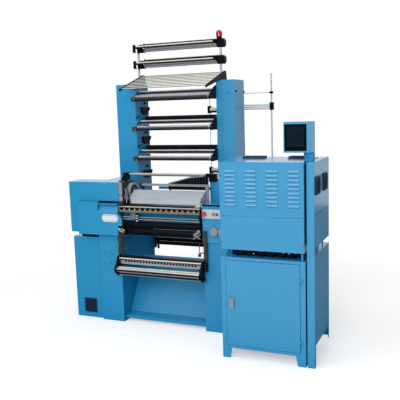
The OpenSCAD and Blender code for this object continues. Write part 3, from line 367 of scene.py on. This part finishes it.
def cad_finishes():
    """One finish for each material slot of the CAD, by the slot's name."""
    return {
        "blue_paint": blue_paint(),
        "black_paint": surface("black_enamel", srgb(18, 18, 22), 0.42, vary=0.25, vary_scale=9, bump=0.2,
                               specular=0.08, dirt_and_shade=0.1),
        "white_plate": surface("white_plate", srgb(206, 212, 222), 0.4, vary=0.02, edge=0.0006),
        "cast_grey": cam_casting(),
        # bright_rods: painted highlight on top and painted shade underneath
        "bright_rods": turned("bright_rods", srgb(246, 246, 238), srgb(224, 224, 206), srgb(12, 12, 10),
                              rough=0.28, metal=0.2, below=(-0.35, 0.0)),
        "satin_steel": surface("satin_steel", srgb(150, 158, 166), 0.4, metal=0.2, vary=0.05, grain=600,
                               stretch=LENGTHWAYS, bump=0.08),
        "cover_steel": brushed_cover(),
        "bed_steel": bed_steel(),
        "tan_steel": surface("passivated_steel", srgb(96, 94, 84), 0.4, metal=0.6, vary=0.15, vary_scale=15,
                             grain=500, edge=0.0008, dirt_and_shade=0.4),
        "red_lens": surface("red_lens", srgb(190, 24, 34), 0.15, vary=0.04, coat=0.6, edge=0.0005),
        "black_plastic": surface("black_plastic", srgb(40, 58, 88), 0.5, vary=0.1, grain=1200,
                                 specular=0.15, dirt_and_shade=0.6),
        "zinc_screws": surface("zinc_screws", srgb(150, 176, 194), 0.35, metal=0.6, vary=0.1, edge=0.0006),
        # roller_steel: painted highlight on top, painted shade in front and underneath
        "roller_steel": turned("turned_roller", srgb(214, 216, 218), srgb(86, 90, 100), srgb(40, 42, 48),
                               rough=0.28, metal=0.5),
        # chrome_roller: painted reflection, pale on top and underneath and dark in front
        "chrome_roller": turned("chrome_roller", srgb(246, 248, 250), srgb(34, 36, 42), srgb(240, 242, 246),
                                rough=0.2, metal=0.25, below=(-0.75, -0.45)),
        "black_rubber": surface("ground_rubber", srgb(14, 16, 22), 0.5, vary=0.2, vary_scale=20, grain=500,
                                stretch=ROUND, bump=0.3, specular=0.12),
        # rack_aluminium: dark painted reflection on top and pale painted reflection underneath
        "rack_aluminium": turned("drawn_tube", srgb(60, 60, 66), srgb(150, 152, 158), srgb(206, 208, 214),
                                 rough=0.32, metal=0.3, stretch=LENGTHWAYS),
        # pale_steel: painted light on top and painted shade underneath
        "pale_steel": turned("pale_roller", srgb(214, 214, 206), srgb(176, 176, 168), srgb(110, 108, 100),
                             rough=0.32, metal=0.3),
        "oiled_steel": surface("oiled_steel", srgb(44, 46, 50), 0.3, metal=0.8, vary=0.2, vary_scale=20,
                               dirt_and_shade=0.4),
        "needle_steel": surface("needle_steel", srgb(92, 92, 90), 0.3, metal=0.8, vary=0.06, edge=0.0003),
        "latch_chrome": surface("latch_chrome", srgb(158, 168, 176), 0.3, metal=0.2, vary=0.08, edge=0.001),
        "red_plastic": surface("red_plastic", srgb(222, 74, 80), 0.3, vary=0.04, coat=0.3),
        "green_plastic": surface("green_plastic", srgb(40, 128, 122), 0.3, vary=0.04, coat=0.3),
        "amber_plastic": surface("amber_plastic", srgb(190, 130, 70), 0.3, vary=0.04, coat=0.3),
    }


def extra_finishes():
    """Finishes of single CAD nodes and of the small pieces, which no slot has."""
    return {
        "reed_black": reed_black(),
        "spacer_black": spacer_black(),
        "post_chrome": surface("post_chrome", srgb(204, 208, 220), 0.3, metal=0.2, vary=0.04, grain=600,
                               bump=0.05),
        "comb_steel": surface("comb_steel", srgb(196, 196, 190), 0.35, metal=0.2, vary=0.08, grain=600,
                              stretch=LENGTHWAYS, bump=0.05),
        "brass": surface("brass", srgb(188, 176, 120), 0.35, metal=0.5, vary=0.08, edge=0.0005),
        "dark_glass": surface("dark_glass", srgb(14, 30, 40), 0.3, vary=0.2, vary_scale=18, grain=1500,
                              specular=0.08),
        "ivory": surface("ivory_plastic", srgb(226, 222, 200), 0.4, vary=0.03, edge=0.0006),
        "bare_white": surface("bare_badge", srgb(236, 236, 238), 0.35, vary=0.01, grain=1500),
        "badge_rim": surface("badge_rim", srgb(150, 156, 170), 0.4, vary=0.02, grain=1500),
        "oily_black": surface("oily_black", srgb(34, 35, 36), 0.35, metal=0.3, vary=0.3, vary_scale=40,
                              specular=0.3),
        "bezel_black": surface("bezel_black", srgb(5, 7, 10), 0.4, vary=0.1, grain=1500, specular=0.06),
        "blue_black": surface("blue_black", srgb(6, 26, 44), 0.5, vary=0.15, vary_scale=12, specular=0.1),
    }


FINISHES = {**cad_finishes(), **extra_finishes()}
NODE_FINISH = {
    "reed_comb": "reed_black",
    "rack_posts": "post_chrome",
    "delivery_comb": "comb_steel",
    "dark_spacers": "spacer_black",
}


def paint_cad():
    """Give each CAD node the finish of its slot, or its own where NODE_FINISH names one."""
    slot_of = {part["node"]: part["material_slot"] for part in frame["record"]["subparts"]}
    for name, obj in NODES.items():
        finish = FINISHES[NODE_FINISH.get(name, slot_of[name])]
        if not obj.data.materials:
            obj.data.materials.append(finish)
        for i in range(len(obj.data.materials)):
            obj.data.materials[i] = finish


paint_cad()


# ---------- tools for the details ----------

class Piece:
    """Collects simple solids in millimetres into one mesh."""

    def __init__(self):
        self.bm = bmesh.new()

    def prism(self, loop, push):
        """Closed loop of points pushed along a vector."""
        a = [self.bm.verts.new(Vector(p) * MM) for p in loop]
        b = [self.bm.verts.new((Vector(p) + Vector(push)) * MM) for p in loop]
        self.bm.faces.new(a)
        self.bm.faces.new(b[::-1])
        for i in range(len(loop)):
            j = (i + 1) % len(loop)
            self.bm.faces.new((a[i], b[i], b[j], a[j]))
        return self

    def box(self, x0, x1, y0, y1, z0, z1):
        return self.prism([(x0, y0, z0), (x1, y0, z0), (x1, y0, z1), (x0, y0, z1)], (0, y1 - y0, 0))

    def plate(self, outline, y, thick):
        """Outline of (x, z) points, standing upright and facing the operator."""
        return self.prism([(x, y, z) for x, z in outline], (0, thick, 0))

    def rod(self, a, b, radius, sides=20):
        axis = (Vector(b) - Vector(a)).normalized()
        across = axis.orthogonal().normalized()
        other = axis.cross(across)
        turn = [2 * math.pi * i / sides for i in range(sides)]
        loop = [Vector(a) + (across * math.cos(t) + other * math.sin(t)) * radius for t in turn]
        return self.prism(loop, Vector(b) - Vector(a))

    def ring(self, a, b, inner, outer):
        """Tube wall round the axis a to b, as wedges that share their ends."""
        sides = 28
        axis = (Vector(b) - Vector(a)).normalized()
        other = Vector((0, 1, 0)) if abs(axis.x) > 0.5 else Vector((1, 0, 0))
        turn = [math.radians(360 * i / sides) for i in range(sides + 1)]
        way = [Vector((0, 0, 1)) * math.cos(t) + other * math.sin(t) for t in turn]
        for this, after in zip(way, way[1:]):
            wedge = ((this, inner), (this, outer), (after, outer), (after, inner))
            self.prism([Vector(a) + w * r for w, r in wedge], Vector(b) - Vector(a))
        return self

    def wire(self, points, radius):
        for a, b in zip(points, points[1:]):
            self.rod(a, b, radius, 10)
        return self

    def done(self, name, slot, body="frame", finish=None, smooth=False):
        """Make the object. It has the slot's finish unless another is named."""
        bmesh.ops.remove_doubles(self.bm, verts=self.bm.verts, dist=1e-6)
        bmesh.ops.recalc_face_normals(self.bm, faces=self.bm.faces)
        mesh = bpy.data.meshes.new(name)
        self.bm.to_mesh(mesh)
        self.bm.free()
        obj = bpy.data.objects.new(name, mesh)
        bpy.context.scene.collection.objects.link(obj)
        mesh.materials.append(FINISHES[finish or slot])
        if smooth:
            mesh.shade_smooth()
        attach(obj, body)


Corners = namedtuple("Corners", "x0 x1 y0 y1 z0 z1")


def corners(node):
    """Sides of a CAD node's box in millimetres."""
    low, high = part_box(node)
    return Corners(low.x / MM, high.x / MM, low.y / MM, high.y / MM, low.z / MM, high.z / MM)


def centre_line(box):
    """Y and Z of a roller's axis."""
    return (box.y0 + box.y1) / 2, (box.z0 + box.z1) / 2


def moved(points, x, y, z):
    """Points that are measured from a corner, moved to that corner."""
    return [(x + a, y + b, z + c) for a, b, c in points]


def moved_outline(points, x, z):
    return [(x + a, z + c) for a, c in points]


def stadium(cx, cz, half_x, half_z, count=12):
    """Outline of a plate with round ends."""
    turn = [math.pi * i / count - math.pi / 2 for i in range(count + 1)]
    flat = half_x - half_z
    right = [(cx + flat + half_z * math.cos(t), cz + half_z * math.sin(t)) for t in turn]
    return right + [(2 * cx - x, 2 * cz - z) for x, z in right]


def bolt_heads(points, y, radius=3.6, stand=2.0):
    """Round heads at (x, z) points on a face that looks at the operator."""
    piece = Piece()
    for x, z in points:
        piece.rod((x, y - stand, z), (x, y + 0.3, z), radius, 12)
    return piece


# ---------- details too small for the CAD -----------------

def make_badge():
    """Bare badge place on the left cover: three plates with round ends, one on another."""
    cover = corners("left_front_cover")
    x, z = cover.x1 - 100, cover.z0 + 131
    for name, half_x, half_z, stand, thick, finish in (
            ("badge_border", 70, 29, 1.4, 1.6, "bare_white"),
            ("badge_rim", 64, 23, 2.0, 0.8, "badge_rim"),
            ("badge_face", 61, 20, 2.5, 0.8, "bare_white")):
        plate = Piece().plate(stadium(x, z, half_x, half_z), cover.y0 - stand, thick)
        plate.done(name, "white_plate", finish=finish)


def make_display():
    """Bezel of four strips round a dark screen, in the recess of the display's front."""
    unit = corners("display_unit")
    left, right, low, high = unit.x0 + 5, unit.x1 - 27, unit.z1 - 172, unit.z1 - 13
    glass_left, glass_right, glass_low, glass_high = left + 13, right - 17, low + 24, high - 16
    back = unit.y0 + 3
    bezel = Piece()
    bezel.box(left, right, back - 2.4, back, glass_high, high)
    bezel.box(left, right, back - 2.4, back, low, glass_low)
    bezel.box(left, glass_left, back - 2.4, back, glass_low, glass_high)
    bezel.box(glass_right, right, back - 2.4, back, glass_low, glass_high)
    bezel.done("display_bezel", "black_plastic", "display_unit", finish="bezel_black")
    screen = Piece().box(glass_left, glass_right, back - 1.2, back, glass_low, glass_high)
    screen.done("display_screen", "black_plastic", "display_unit", finish="dark_glass")


def make_tower_fixings():
    """Bolt heads on the tower fronts, and two knobs on the right tower's side."""
    right = corners("right_tower_column")
    heads = bolt_heads([(right.x1 - 48, right.z1 - 94), (right.x1 - 34, right.z1 - 95),
                        (right.x1 - 61, right.z0 + 138)], right.y0)
    for y, z in ((right.y0 + 35, right.z1 - 84), (right.y1 - 7, right.z1 - 87)):
        heads.rod((right.x1, y, z), (right.x1 + 6, y, z), 7)
    heads.done("right_tower_bolts", "black_paint")
    left = corners("left_tower_column")
    heads = bolt_heads([(left.x0 + 171, left.z1 - 93), (left.x0 + 169, left.z1 - 344),
                        (left.x0 + 167, left.z0 + 136), (left.x0 + 186, left.z0 + 133)], right.y0)
    heads.done("left_tower_bolts", "black_paint")


def make_frame_fixings():
    """Bolt heads on the fronts of the side frames."""
    left = corners("left_side_frame")
    points = moved_outline([(47, 523), (96, 531), (111, 523), (43, 445), (96, 449)], left.x0, left.z0)
    bolt_heads(points, left.y0, 3.0).done("left_frame_bolts", "black_paint")
    right = corners("right_side_frame")
    points = moved_outline([(-55, 673), (-137, 668)], right.x1, right.z0)
    bolt_heads(points, right.y0, 3.0).done("right_frame_bolts", "black_paint")


def make_block_fixings():
    """Three brass heads on the bearing blocks."""
    blocks = corners("bearing_blocks")
    points = moved_outline([(88.5, -96), (88, -325), (89, -560)], blocks.x0, blocks.z1)
    brass = bolt_heads(points, blocks.y0 + 70, 5.5, 1.5)
    brass.done("end_block_brass", "pale_steel", finish="brass")


def make_cabinet_fixings():
    """Screw on the cabinet's top and bolt on the display's foot."""
    top = corners("upper_cabinet")
    x, y = top.x0 + 8, top.y0 + 189
    Piece().rod((x, y, top.z1), (x, y, top.z1 + 4), 5, 12).done("cabinet_top_screw", "zinc_screws")
    side = corners("side_cabinet")
    x, z = side.x1 - 49, side.z1 - 27
    foot_bolt = Piece().rod((x, side.y0 + 70, z), (x, side.y0 + 72, z), 4, 12)
    foot_bolt.done("display_foot_bolt", "black_paint")


def make_roller_trim():
    """Pale sleeves on the left ends of two back rollers.

    Five feed and nip rollers have a brass collar at the right end.
    """
    for node in ("back_roller_middle", "back_roller_low"):
        roller = corners(node)
        y, z = centre_line(roller)
        sleeve = Piece().ring((roller.x0 + 9, y, z), (roller.x0 + 21, y, z), inner=12.4, outer=16)
        sleeve.done(node + "_sleeve", "chrome_roller", node, finish="ivory")
    for node in ("feed_roller_top", "feed_roller_middle", "feed_roller_low",
                 "nip_roller_middle", "nip_roller_low"):
        roller = corners(node)
        y, z = centre_line(roller)
        radius = (roller.z1 - roller.z0) / 2
        collar = Piece().ring((roller.x1 - 24, y, z), (roller.x1 - 18, y, z), radius - 0.6, radius + 0.7)
        collar.done(node + "_collar", "roller_steel", node, finish="brass")


def make_bed_trim():
    """Bolt heads between the bed's pockets, ivory guide at its right end and a pale cap at its left."""
    bed = corners("needle_bed")
    pockets = 15
    step = (bed.x1 - bed.x0) / pockets
    bolts = Piece()
    for i in range(1, pockets):
        x, z = bed.x0 + i * step, bed.z1 - 30
        bolts.rod((x, bed.y0 - 1.2, z), (x, bed.y0 + 0.3, z), 3.2, 12)
    bolts.done("bed_bolts", "bed_steel", finish="bare_white")
    guide = moved([(-38, 6, 0), (-2, 6, 0), (-2, 30, 8), (-28, 30, 8)], bed.x1, bed.y0, bed.z1)
    Piece().prism(guide, (0, 0, 3)).done("thread_guide_block", "bed_steel", finish="ivory")
    cap = Piece().box(bed.x0 - 1.5, bed.x0 + 30, bed.y0 - 2, bed.y0 + 1, bed.z1 - 17, bed.z1 - 8)
    cap.done("bed_end_cap", "bed_steel", finish="pale_steel")


def make_cover_ends():
    """End plate on the right of the mechanism cover, and a small black catch."""
    cover = corners("mechanism_cover")
    side = [(cover.y0 + 26, cover.z0), (cover.y0 + 26, cover.z0 + 51), (cover.y1 - 3, cover.z1),
            (cover.y1, cover.z1), (cover.y1, cover.z0)]
    Piece().prism([(cover.x1, y, z) for y, z in side], (3, 0, 0)).done("cover_end_plate", "cover_steel")
    hook = moved_outline([(-3, 16), (9, 18), (12, 30), (6, 34), (4, 26), (-4, 24)], cover.x1, cover.z0)
    catch = Piece().plate(hook, cover.y0 - 3, 6)
    catch.box(cover.x1 + 5, cover.x1 + 9, cover.y0 - 3, cover.y0 + 3, cover.z0 + 34, cover.z0 + 56)
    catch.done("cover_catch_right", "black_paint")


def make_cam_plate():
    """Black plates as painted shade in the slots of the cam box's front plate, and the bracket and fittings
    on its top.
    """
    box = corners("cam_housing")
    slots = Piece()
    # painted shade: black plates where the slots are
    for left, right in ((7, 14), (24, 31)):
        slots.box(box.x0 + left, box.x0 + right, box.y0 - 1.0, box.y0 + 0.4, box.z0 + 42, box.z0 + 50)
    slots.done("cam_plate_slots", "black_paint")
    arm = moved_outline([(4, 4), (34, 50), (44, 50), (62, 18), (62, 2)], box.x0, box.z1)
    bracket = Piece().plate(arm, box.y0 + 30, 10)
    bracket.box(box.x0 + 4, box.x0 + 50, box.y0 + 26, box.y0 + 44, box.z1 - 6, box.z1 + 6)
    bracket.done("cam_box_bracket", "black_paint")
    fittings = Piece().box(box.x0 + 2, box.x0 + 30, box.y0 + 6, box.y0 + 26, box.z1 - 4, box.z1 + 10)
    fittings.rod((box.x0 + 34, box.y0 + 10, box.z1 + 2), (box.x0 + 50, box.y0 + 10, box.z1 + 2), 9)
    fittings.done("cam_box_fittings", "tan_steel")


def make_cam_rings():
    """Rings round the cam shaft where it leaves the box."""
    box = corners("cam_housing")
    y, z = box.y0 + 103, box.z0 + 58
    rims = Piece()
    rims.ring((box.x1 - 2, y, z), (box.x1 + 6, y, z), inner=40, outer=50)
    rims.ring((box.x1 - 4, y, z), (box.x1 + 14, y, z), inner=14, outer=22)
    rims.done("cam_ring_rim", "oiled_steel", finish="oily_black")
    faces = Piece().rod((box.x1 - 6, y, z), (box.x1 + 8, y, z), 13)
    faces.ring((box.x1 - 2, y, z), (box.x1 + 4, y, z), inner=28, outer=33)
    faces.done("cam_ring_faces", "cast_grey", finish="satin_steel")


def make_cam_followers():
    """Slanting row of six cam followers with pale rings and a lever, and the blocks under them."""
    box = corners("cam_housing")
    black, pale = Piece(), Piece()
    for i in range(6):
        x, z, radius = box.x0 + 69 + 2.6 * i, box.z0 + 88 - 17.5 * i, 13 - 0.5 * i
        black.rod((x, box.y0 - 9, z), (x, box.y0 - 3, z), radius)
        pale.ring((x, box.y0 - 11, z), (x, box.y0 - 8, z), radius * 0.42, radius * 0.74)
        black.rod((x - 8, box.y0 - 4, z - 8), (x - 16, box.y0 + 4, z - 12), 4)
    lever = moved_outline([(48, 18), (56, 18), (62, 74), (54, 78)], box.x0, box.z0)
    pale.plate(lever, box.y0 + 2, 4)
    black.done("cam_followers", "oiled_steel", finish="oily_black")
    pale.done("cam_follower_rings", "satin_steel")
    foot = Piece().box(box.x0 + 40, box.x0 + 66, box.y0 - 8, box.y0 + 10, box.z0 - 20, box.z0 + 2)
    foot.box(box.x0 + 76, box.x0 + 98, box.y0 - 14, box.y0 - 4, box.z0 - 18, box.z0 + 18)
    foot.done("cam_box_foot_blocks", "black_paint", finish="blue_black")
    # painted highlight: a white plate beside the foot blocks
    plate = Piece().box(box.x0 + 71, box.x0 + 75, box.y0 - 14, box.y0 - 6, box.z0 - 6, box.z0 + 20)
    plate.done("cam_box_foot_highlight", "satin_steel", finish="bare_white")


def make_comb_strip():
    """Pale strip along the sloping top edge of the reed comb."""
    comb = corners("reed_comb")
    edge = moved_outline([(-319, -61), (-205, -30), (-144, -14), (-34, -2)], comb.x1, comb.z1)
    strip = [(x, z - 1) for x, z in edge] + [(x, z + 8) for x, z in edge[::-1]]
    Piece().plate(strip, comb.y1 - 8, 4).done("comb_top_strip", "satin_steel")


def make_comb_rail():
    """Blue rail behind the reed comb."""
    comb = corners("reed_comb")
    rail = Piece().box(comb.x1 - 417, comb.x1 - 6, comb.y1 + 28, comb.y1 + 36, comb.z1 - 104, comb.z1 - 84)
    rail.done("comb_rear_rail", "blue_paint")


def make_guide_knob():
    """Clamp knob on the guide bracket under the bed, in dark bands and thinner pale ones that are painted
    highlights.
    """
    guide = corners("guide_frame")
    x, y, top = guide.x0 + 72, guide.y0, guide.z1 - 206
    # painted highlights: the pale bands between the dark ones
    for first, radius, name, finish in ((0, 10, "guide_knob_dark", "bezel_black"),
                                        (1, 8, "guide_knob_highlight", "bare_white")):
        bands = Piece()
        for i in range(first, 6, 2):
            bands.rod((x, y, top - 9.5 * i), (x, y, top - 9.5 * (i + 1)), radius, 16)
        bands.done(name, "black_paint", finish=finish)


def make_takedown_fittings():
    """Bent fittings at both ends of the take-down rollers."""
    roller = corners("takedown_roller_upper")
    left = Piece()
    at = (roller.x0, roller.y0, roller.z0)
    left.wire(moved([(-2, -12, 2), (16, -13, -8), (32, -11, -2), (50, -9, -14)], *at), 5.5)
    left.wire(moved([(6, -12, -14), (24, -12, -20), (44, -10, -26)], *at), 4.5)
    left.done("takedown_fitting_left", "latch_chrome", finish="pale_steel")
    right = Piece()
    at = (roller.x1, roller.y0, roller.z0)
    right.wire(moved([(-58, -16, -44), (-38, -17, -32), (-22, -16, -26), (-4, -14, -8)], *at), 4.5)
    right.wire(moved([(-38, -17, -32), (-48, -17, -18)], *at), 4)
    right.wire(moved([(-22, -16, -26), (-12, -16, -42)], *at), 4)
    right.done("takedown_claw_right", "latch_chrome", finish="pale_steel")


def make_takedown_catches():
    """Thin wire loop and a cluster of round catches at the left end of the take-down rollers."""
    roller = corners("takedown_roller_upper")
    loop = [(11, -99), (18, -116), (30, -127), (48, -133), (74, -132), (98, -121), (108, -108), (118, -88),
            (120, -70), (108, -56), (90, -50)]
    points = [(x, roller.y0 - 12, z) for x, z in moved_outline(loop, roller.x0, roller.z1)]
    Piece().wire(points, 2.6).done("takedown_wire_loop", "black_paint")
    cluster = Piece()
    for dx, dz, radius in ((36, -34, 13), (66, -14, 12), (100, -10, 10), (84, -46, 12), (24, -6, 9)):
        x, z = roller.x0 + dx, roller.z1 + dz
        cluster.rod((x, roller.y0 - 6, z), (x, roller.y0 + 4, z), radius, 14)
    cluster.wire(moved([(24, -4, -6), (66, -4, -14), (84, -4, -46)], roller.x0, roller.y0, roller.z1), 6)
    cluster.done("takedown_catches", "black_paint")


def make_rear_guard():
    """Black cross plate behind the opening over the chute, with a thin pale strip on it as a painted
    highlight.
    """
    roller = corners("rear_roller")
    left, right = roller.x0 + 11, roller.x1 - 11
    plate = Piece().box(left, right, roller.y0 + 1, roller.y0 + 5, roller.z1 + 4, roller.z1 + 62)
    plate.done("rear_guard", "black_paint")
    # painted highlight: a thin pale strip across the black plate
    rail = Piece().box(left, right, roller.y0 - 1, roller.y0 + 1, roller.z1 + 34, roller.z1 + 38)
    rail.done("rear_guard_highlight", "bright_rods")


def make_rack_rods():
    """Three dark rods and a pale bolt beside each rack roller."""
    for node in ("rack_roller_top", "rack_roller_low"):
        roller = corners(node)
        y, z = centre_line(roller)
        rods = Piece()
        for dy, dz in ((-65, 17), (-20, 31), (38, 39)):
            rods.rod((roller.x0 - 12, y + dy, z + dz), (roller.x1 - 12, y + dy, z + dz), 8.5)
        rods.done(node + "_dark_rods", "black_paint", smooth=True)
        x = roller.x0 + 24
        bolt = Piece().rod((x, y - 34, z + 12), (x, y - 26, z + 12), 7)
        bolt.done(node + "_bolt", "zinc_screws", finish="bare_white")


def make_gap_parts():
    """Switchgear seen in the gap between the cabinets, and screw heads on the spacer's front."""
    cabinet = corners("lower_cabinet")
    front = cabinet.y0 + 91
    switchgear = Piece()
    for i in range(6):
        left = cabinet.x0 + 92 + 66 * i
        top = cabinet.z1 - 10 - 6 * (i % 2)
        switchgear.box(left, left + 40, front - 26, front, cabinet.z1 - 50, top)
    switchgear.done("gap_switchgear", "black_plastic", finish="blue_black")
    points = moved_outline([(392, -20), (428, -22), (200, -34), (470, -16)], cabinet.x0, cabinet.z1)
    bolt_heads(points, front - 25, 4.0, 2.5).done("gap_screws", "zinc_screws", finish="bare_white")


def make_latch_insert():
    """Red insert on the door latch."""
    latch = corners("door_latch")
    insert = Piece().box(latch.x1 - 16, latch.x1 - 6, latch.y0 - 0.8, latch.y0 + 0.4,
                         latch.z1 - 20, latch.z1 - 9)
    insert.done("latch_insert", "red_plastic", "door_latch")


def make_side_seam():
    """Joint line between the upper and lower sheet of the cabinet's side panel."""
    side = corners("side_cabinet")
    seam = Piece().box(side.x1 - 0.5, side.x1 + 0.4, side.y0 + 2, side.y1 - 40, side.z0 + 943, side.z0 + 946)
    seam.done("side_panel_seam", "blue_paint", finish="blue_black")


def make_comb_backing():
    """Dark strip behind the notches of the delivery comb, as painted shade and the dark cross bar seen
    through them.
    """
    comb = corners("delivery_comb")
    backing = Piece().box(comb.x0 + 2, comb.x1 - 2, comb.y1, comb.y1 + 2.5, comb.z0, comb.z1 - 1)
    backing.done("comb_backing", "black_paint")


def make_vent_shade_sheet():
    """Dark sheet behind the motor cabinet's grille as painted shade inside; the grille is the low left
    corner of fan_frames.
    """
    grille, cabinet = corners("fan_frames"), corners("motor_cabinet")
    mat = Piece().box(grille.x0 + 1, grille.x0 + 111, cabinet.y0 + 0.2, cabinet.y0 + 2.6,
                      grille.z0 + 1, grille.z0 + 111)
    mat.done("vent_shade_sheet", "black_plastic", finish="bezel_black")


make_badge()
make_display()
make_tower_fixings()
make_frame_fixings()
make_cabinet_fixings()
make_block_fixings()
make_roller_trim()
make_bed_trim()
make_cover_ends()
make_cam_plate()
make_cam_rings()
make_cam_followers()
make_comb_strip()
make_guide_knob()
make_comb_rail()
make_takedown_fittings()
make_takedown_catches()
make_rear_guard()
make_rack_rods()
make_gap_parts()
make_latch_insert()
make_side_seam()
make_comb_backing()
make_vent_shade_sheet()


# ---------- studio ----------

WORLD_LIGHT = 0.52
FLOOR_GLOW = 0.42
DARK_AROUND = 0.03
DARK_FLOOR = 0.02
LIGHTER_FLOOR = 0.12
FLOOR_HALF = 14.0
FLOOR_DROP = 0.0005
FADE_FROM, FADE_TO = 1.1, 2.7
WHITE = (1.0, 1.0, 1.0, 1)


def ray_masks(n):
    """1 for rays from the camera or through glass, and 1 for reflected rays."""
    path = n.add("ShaderNodeLightPath").outputs
    return n.math("MAXIMUM", path["Is Camera Ray"], path["Is Transmission Ray"]), path["Is Glossy Ray"]


def make_world():
    """White where the camera sees it.

    Reflected rays see it dark near the horizon in front and at the sides, and white above and behind.
    """
    world = bpy.data.worlds.new("studio")
    n = Nodes(world, "ShaderNodeOutputWorld", "Generated")
    above = n.spread(n.along("Z"), DARK_AROUND, 1.0, 0.25, 0.70)
    behind = n.spread(n.along("Y"), 0.0, 1.0, 0.3, 0.8)
    over_floor = n.spread(n.along("Z"), 0.0, 1.25, 0.045, 0.085)
    mirrored = n.math("MAXIMUM", above, n.math("MULTIPLY", behind, over_floor))
    seen, glossy = ray_masks(n)
    level = n.blend(glossy, (WORLD_LIGHT, WORLD_LIGHT, WORLD_LIGHT, 1), mirrored)
    shader = n.add("ShaderNodeBackground")
    n.put(n.blend(seen, level, WHITE), shader.inputs["Color"])
    n.put(shader.outputs[0], n.out.inputs["Surface"])
    bpy.context.scene.world = world


def emission(n, strength):
    shader = n.add("ShaderNodeEmission")
    n.put(strength, shader.inputs["Strength"])
    return shader.outputs[0]


def mix_shader(n, factor, a, b):
    mix = n.add("ShaderNodeMixShader")
    n.put(factor, mix.inputs[0])
    n.put(a, mix.inputs[1])
    n.put(b, mix.inputs[2])
    return mix.outputs[0]


def floor_material():
    """Pale floor that keeps the shadow and fades to white with distance, dark for reflected rays."""
    n = new_material("pale_floor")
    away = n.add("ShaderNodeVectorMath", operation="LENGTH")
    n.put(n.where, away.inputs[0])
    far = n.spread(away.outputs["Value"], 0.0, 1.0, FADE_FROM, FADE_TO)
    matte = n.add("ShaderNodeBsdfDiffuse")
    n.put(n.mottle(0.7, 2.0, (0.80, 0.80, 0.80, 1), (0.84, 0.84, 0.84, 1)), matte.inputs["Color"])
    seen, glossy = ray_masks(n)
    lit = n.add("ShaderNodeAddShader")
    n.put(matte.outputs[0], lit.inputs[0])
    n.put(emission(n, n.math("MULTIPLY", seen, FLOOR_GLOW)), lit.inputs[1])
    seen_floor = mix_shader(n, n.math("MULTIPLY", far, seen), lit.outputs[0], emission(n, 1.0))
    dark_floor = emission(n, n.spread(n.along("X"), DARK_FLOOR, LIGHTER_FLOOR, 0.9, 1.3))
    n.put(mix_shader(n, glossy, seen_floor, dark_floor), n.out.inputs["Surface"])
    return n.block


def make_floor():
    mesh = bpy.data.meshes.new("floor")
    half = FLOOR_HALF
    square = [(-half, -half, 0), (half, -half, 0), (half, half, 0), (-half, half, 0)]
    mesh.from_pydata(square, [], [(0, 1, 2, 3)])
    mesh.materials.append(floor_material())
    floor = bpy.data.objects.new("floor", mesh)
    floor.location.z = -FLOOR_DROP
    bpy.context.scene.collection.objects.link(floor)


def area_light(name, at, target, size, power):
    """Round area lamp that looks at the target."""
    data = bpy.data.lights.new(name, "AREA")
    data.shape = "DISK"
    data.size = size
    data.energy = power
    lamp = bpy.data.objects.new(name, data)
    lamp.location = at
    lamp.rotation_euler = (Vector(target) - Vector(at)).to_track_quat("-Z", "Y").to_euler()
    bpy.context.scene.collection.objects.link(lamp)
    return lamp


def make_lamps():
    """Key and top lamps, and a pale wall that is seen only in reflections."""
    area_light("key", at=(0.9, -5.0, 3.0), target=(0, 0, 1.0), size=2.2, power=105)
    area_light("top", at=(-1.0, -2.6, 5.0), target=(0.2, 0, 1.0), size=2.4, power=40)
    wall = area_light("reflected_wall", at=(1.93, 3.6, 1.2), target=(1.93, 0, 1.2), size=1.4, power=4.8)
    wall.data.shape = "RECTANGLE"
    wall.data.size_y = 1.7
    wall.visible_diffuse = False
    wall.visible_camera = False


bpy.context.scene.view_settings.view_transform = "Standard"
make_world()
make_floor()
make_lamps()
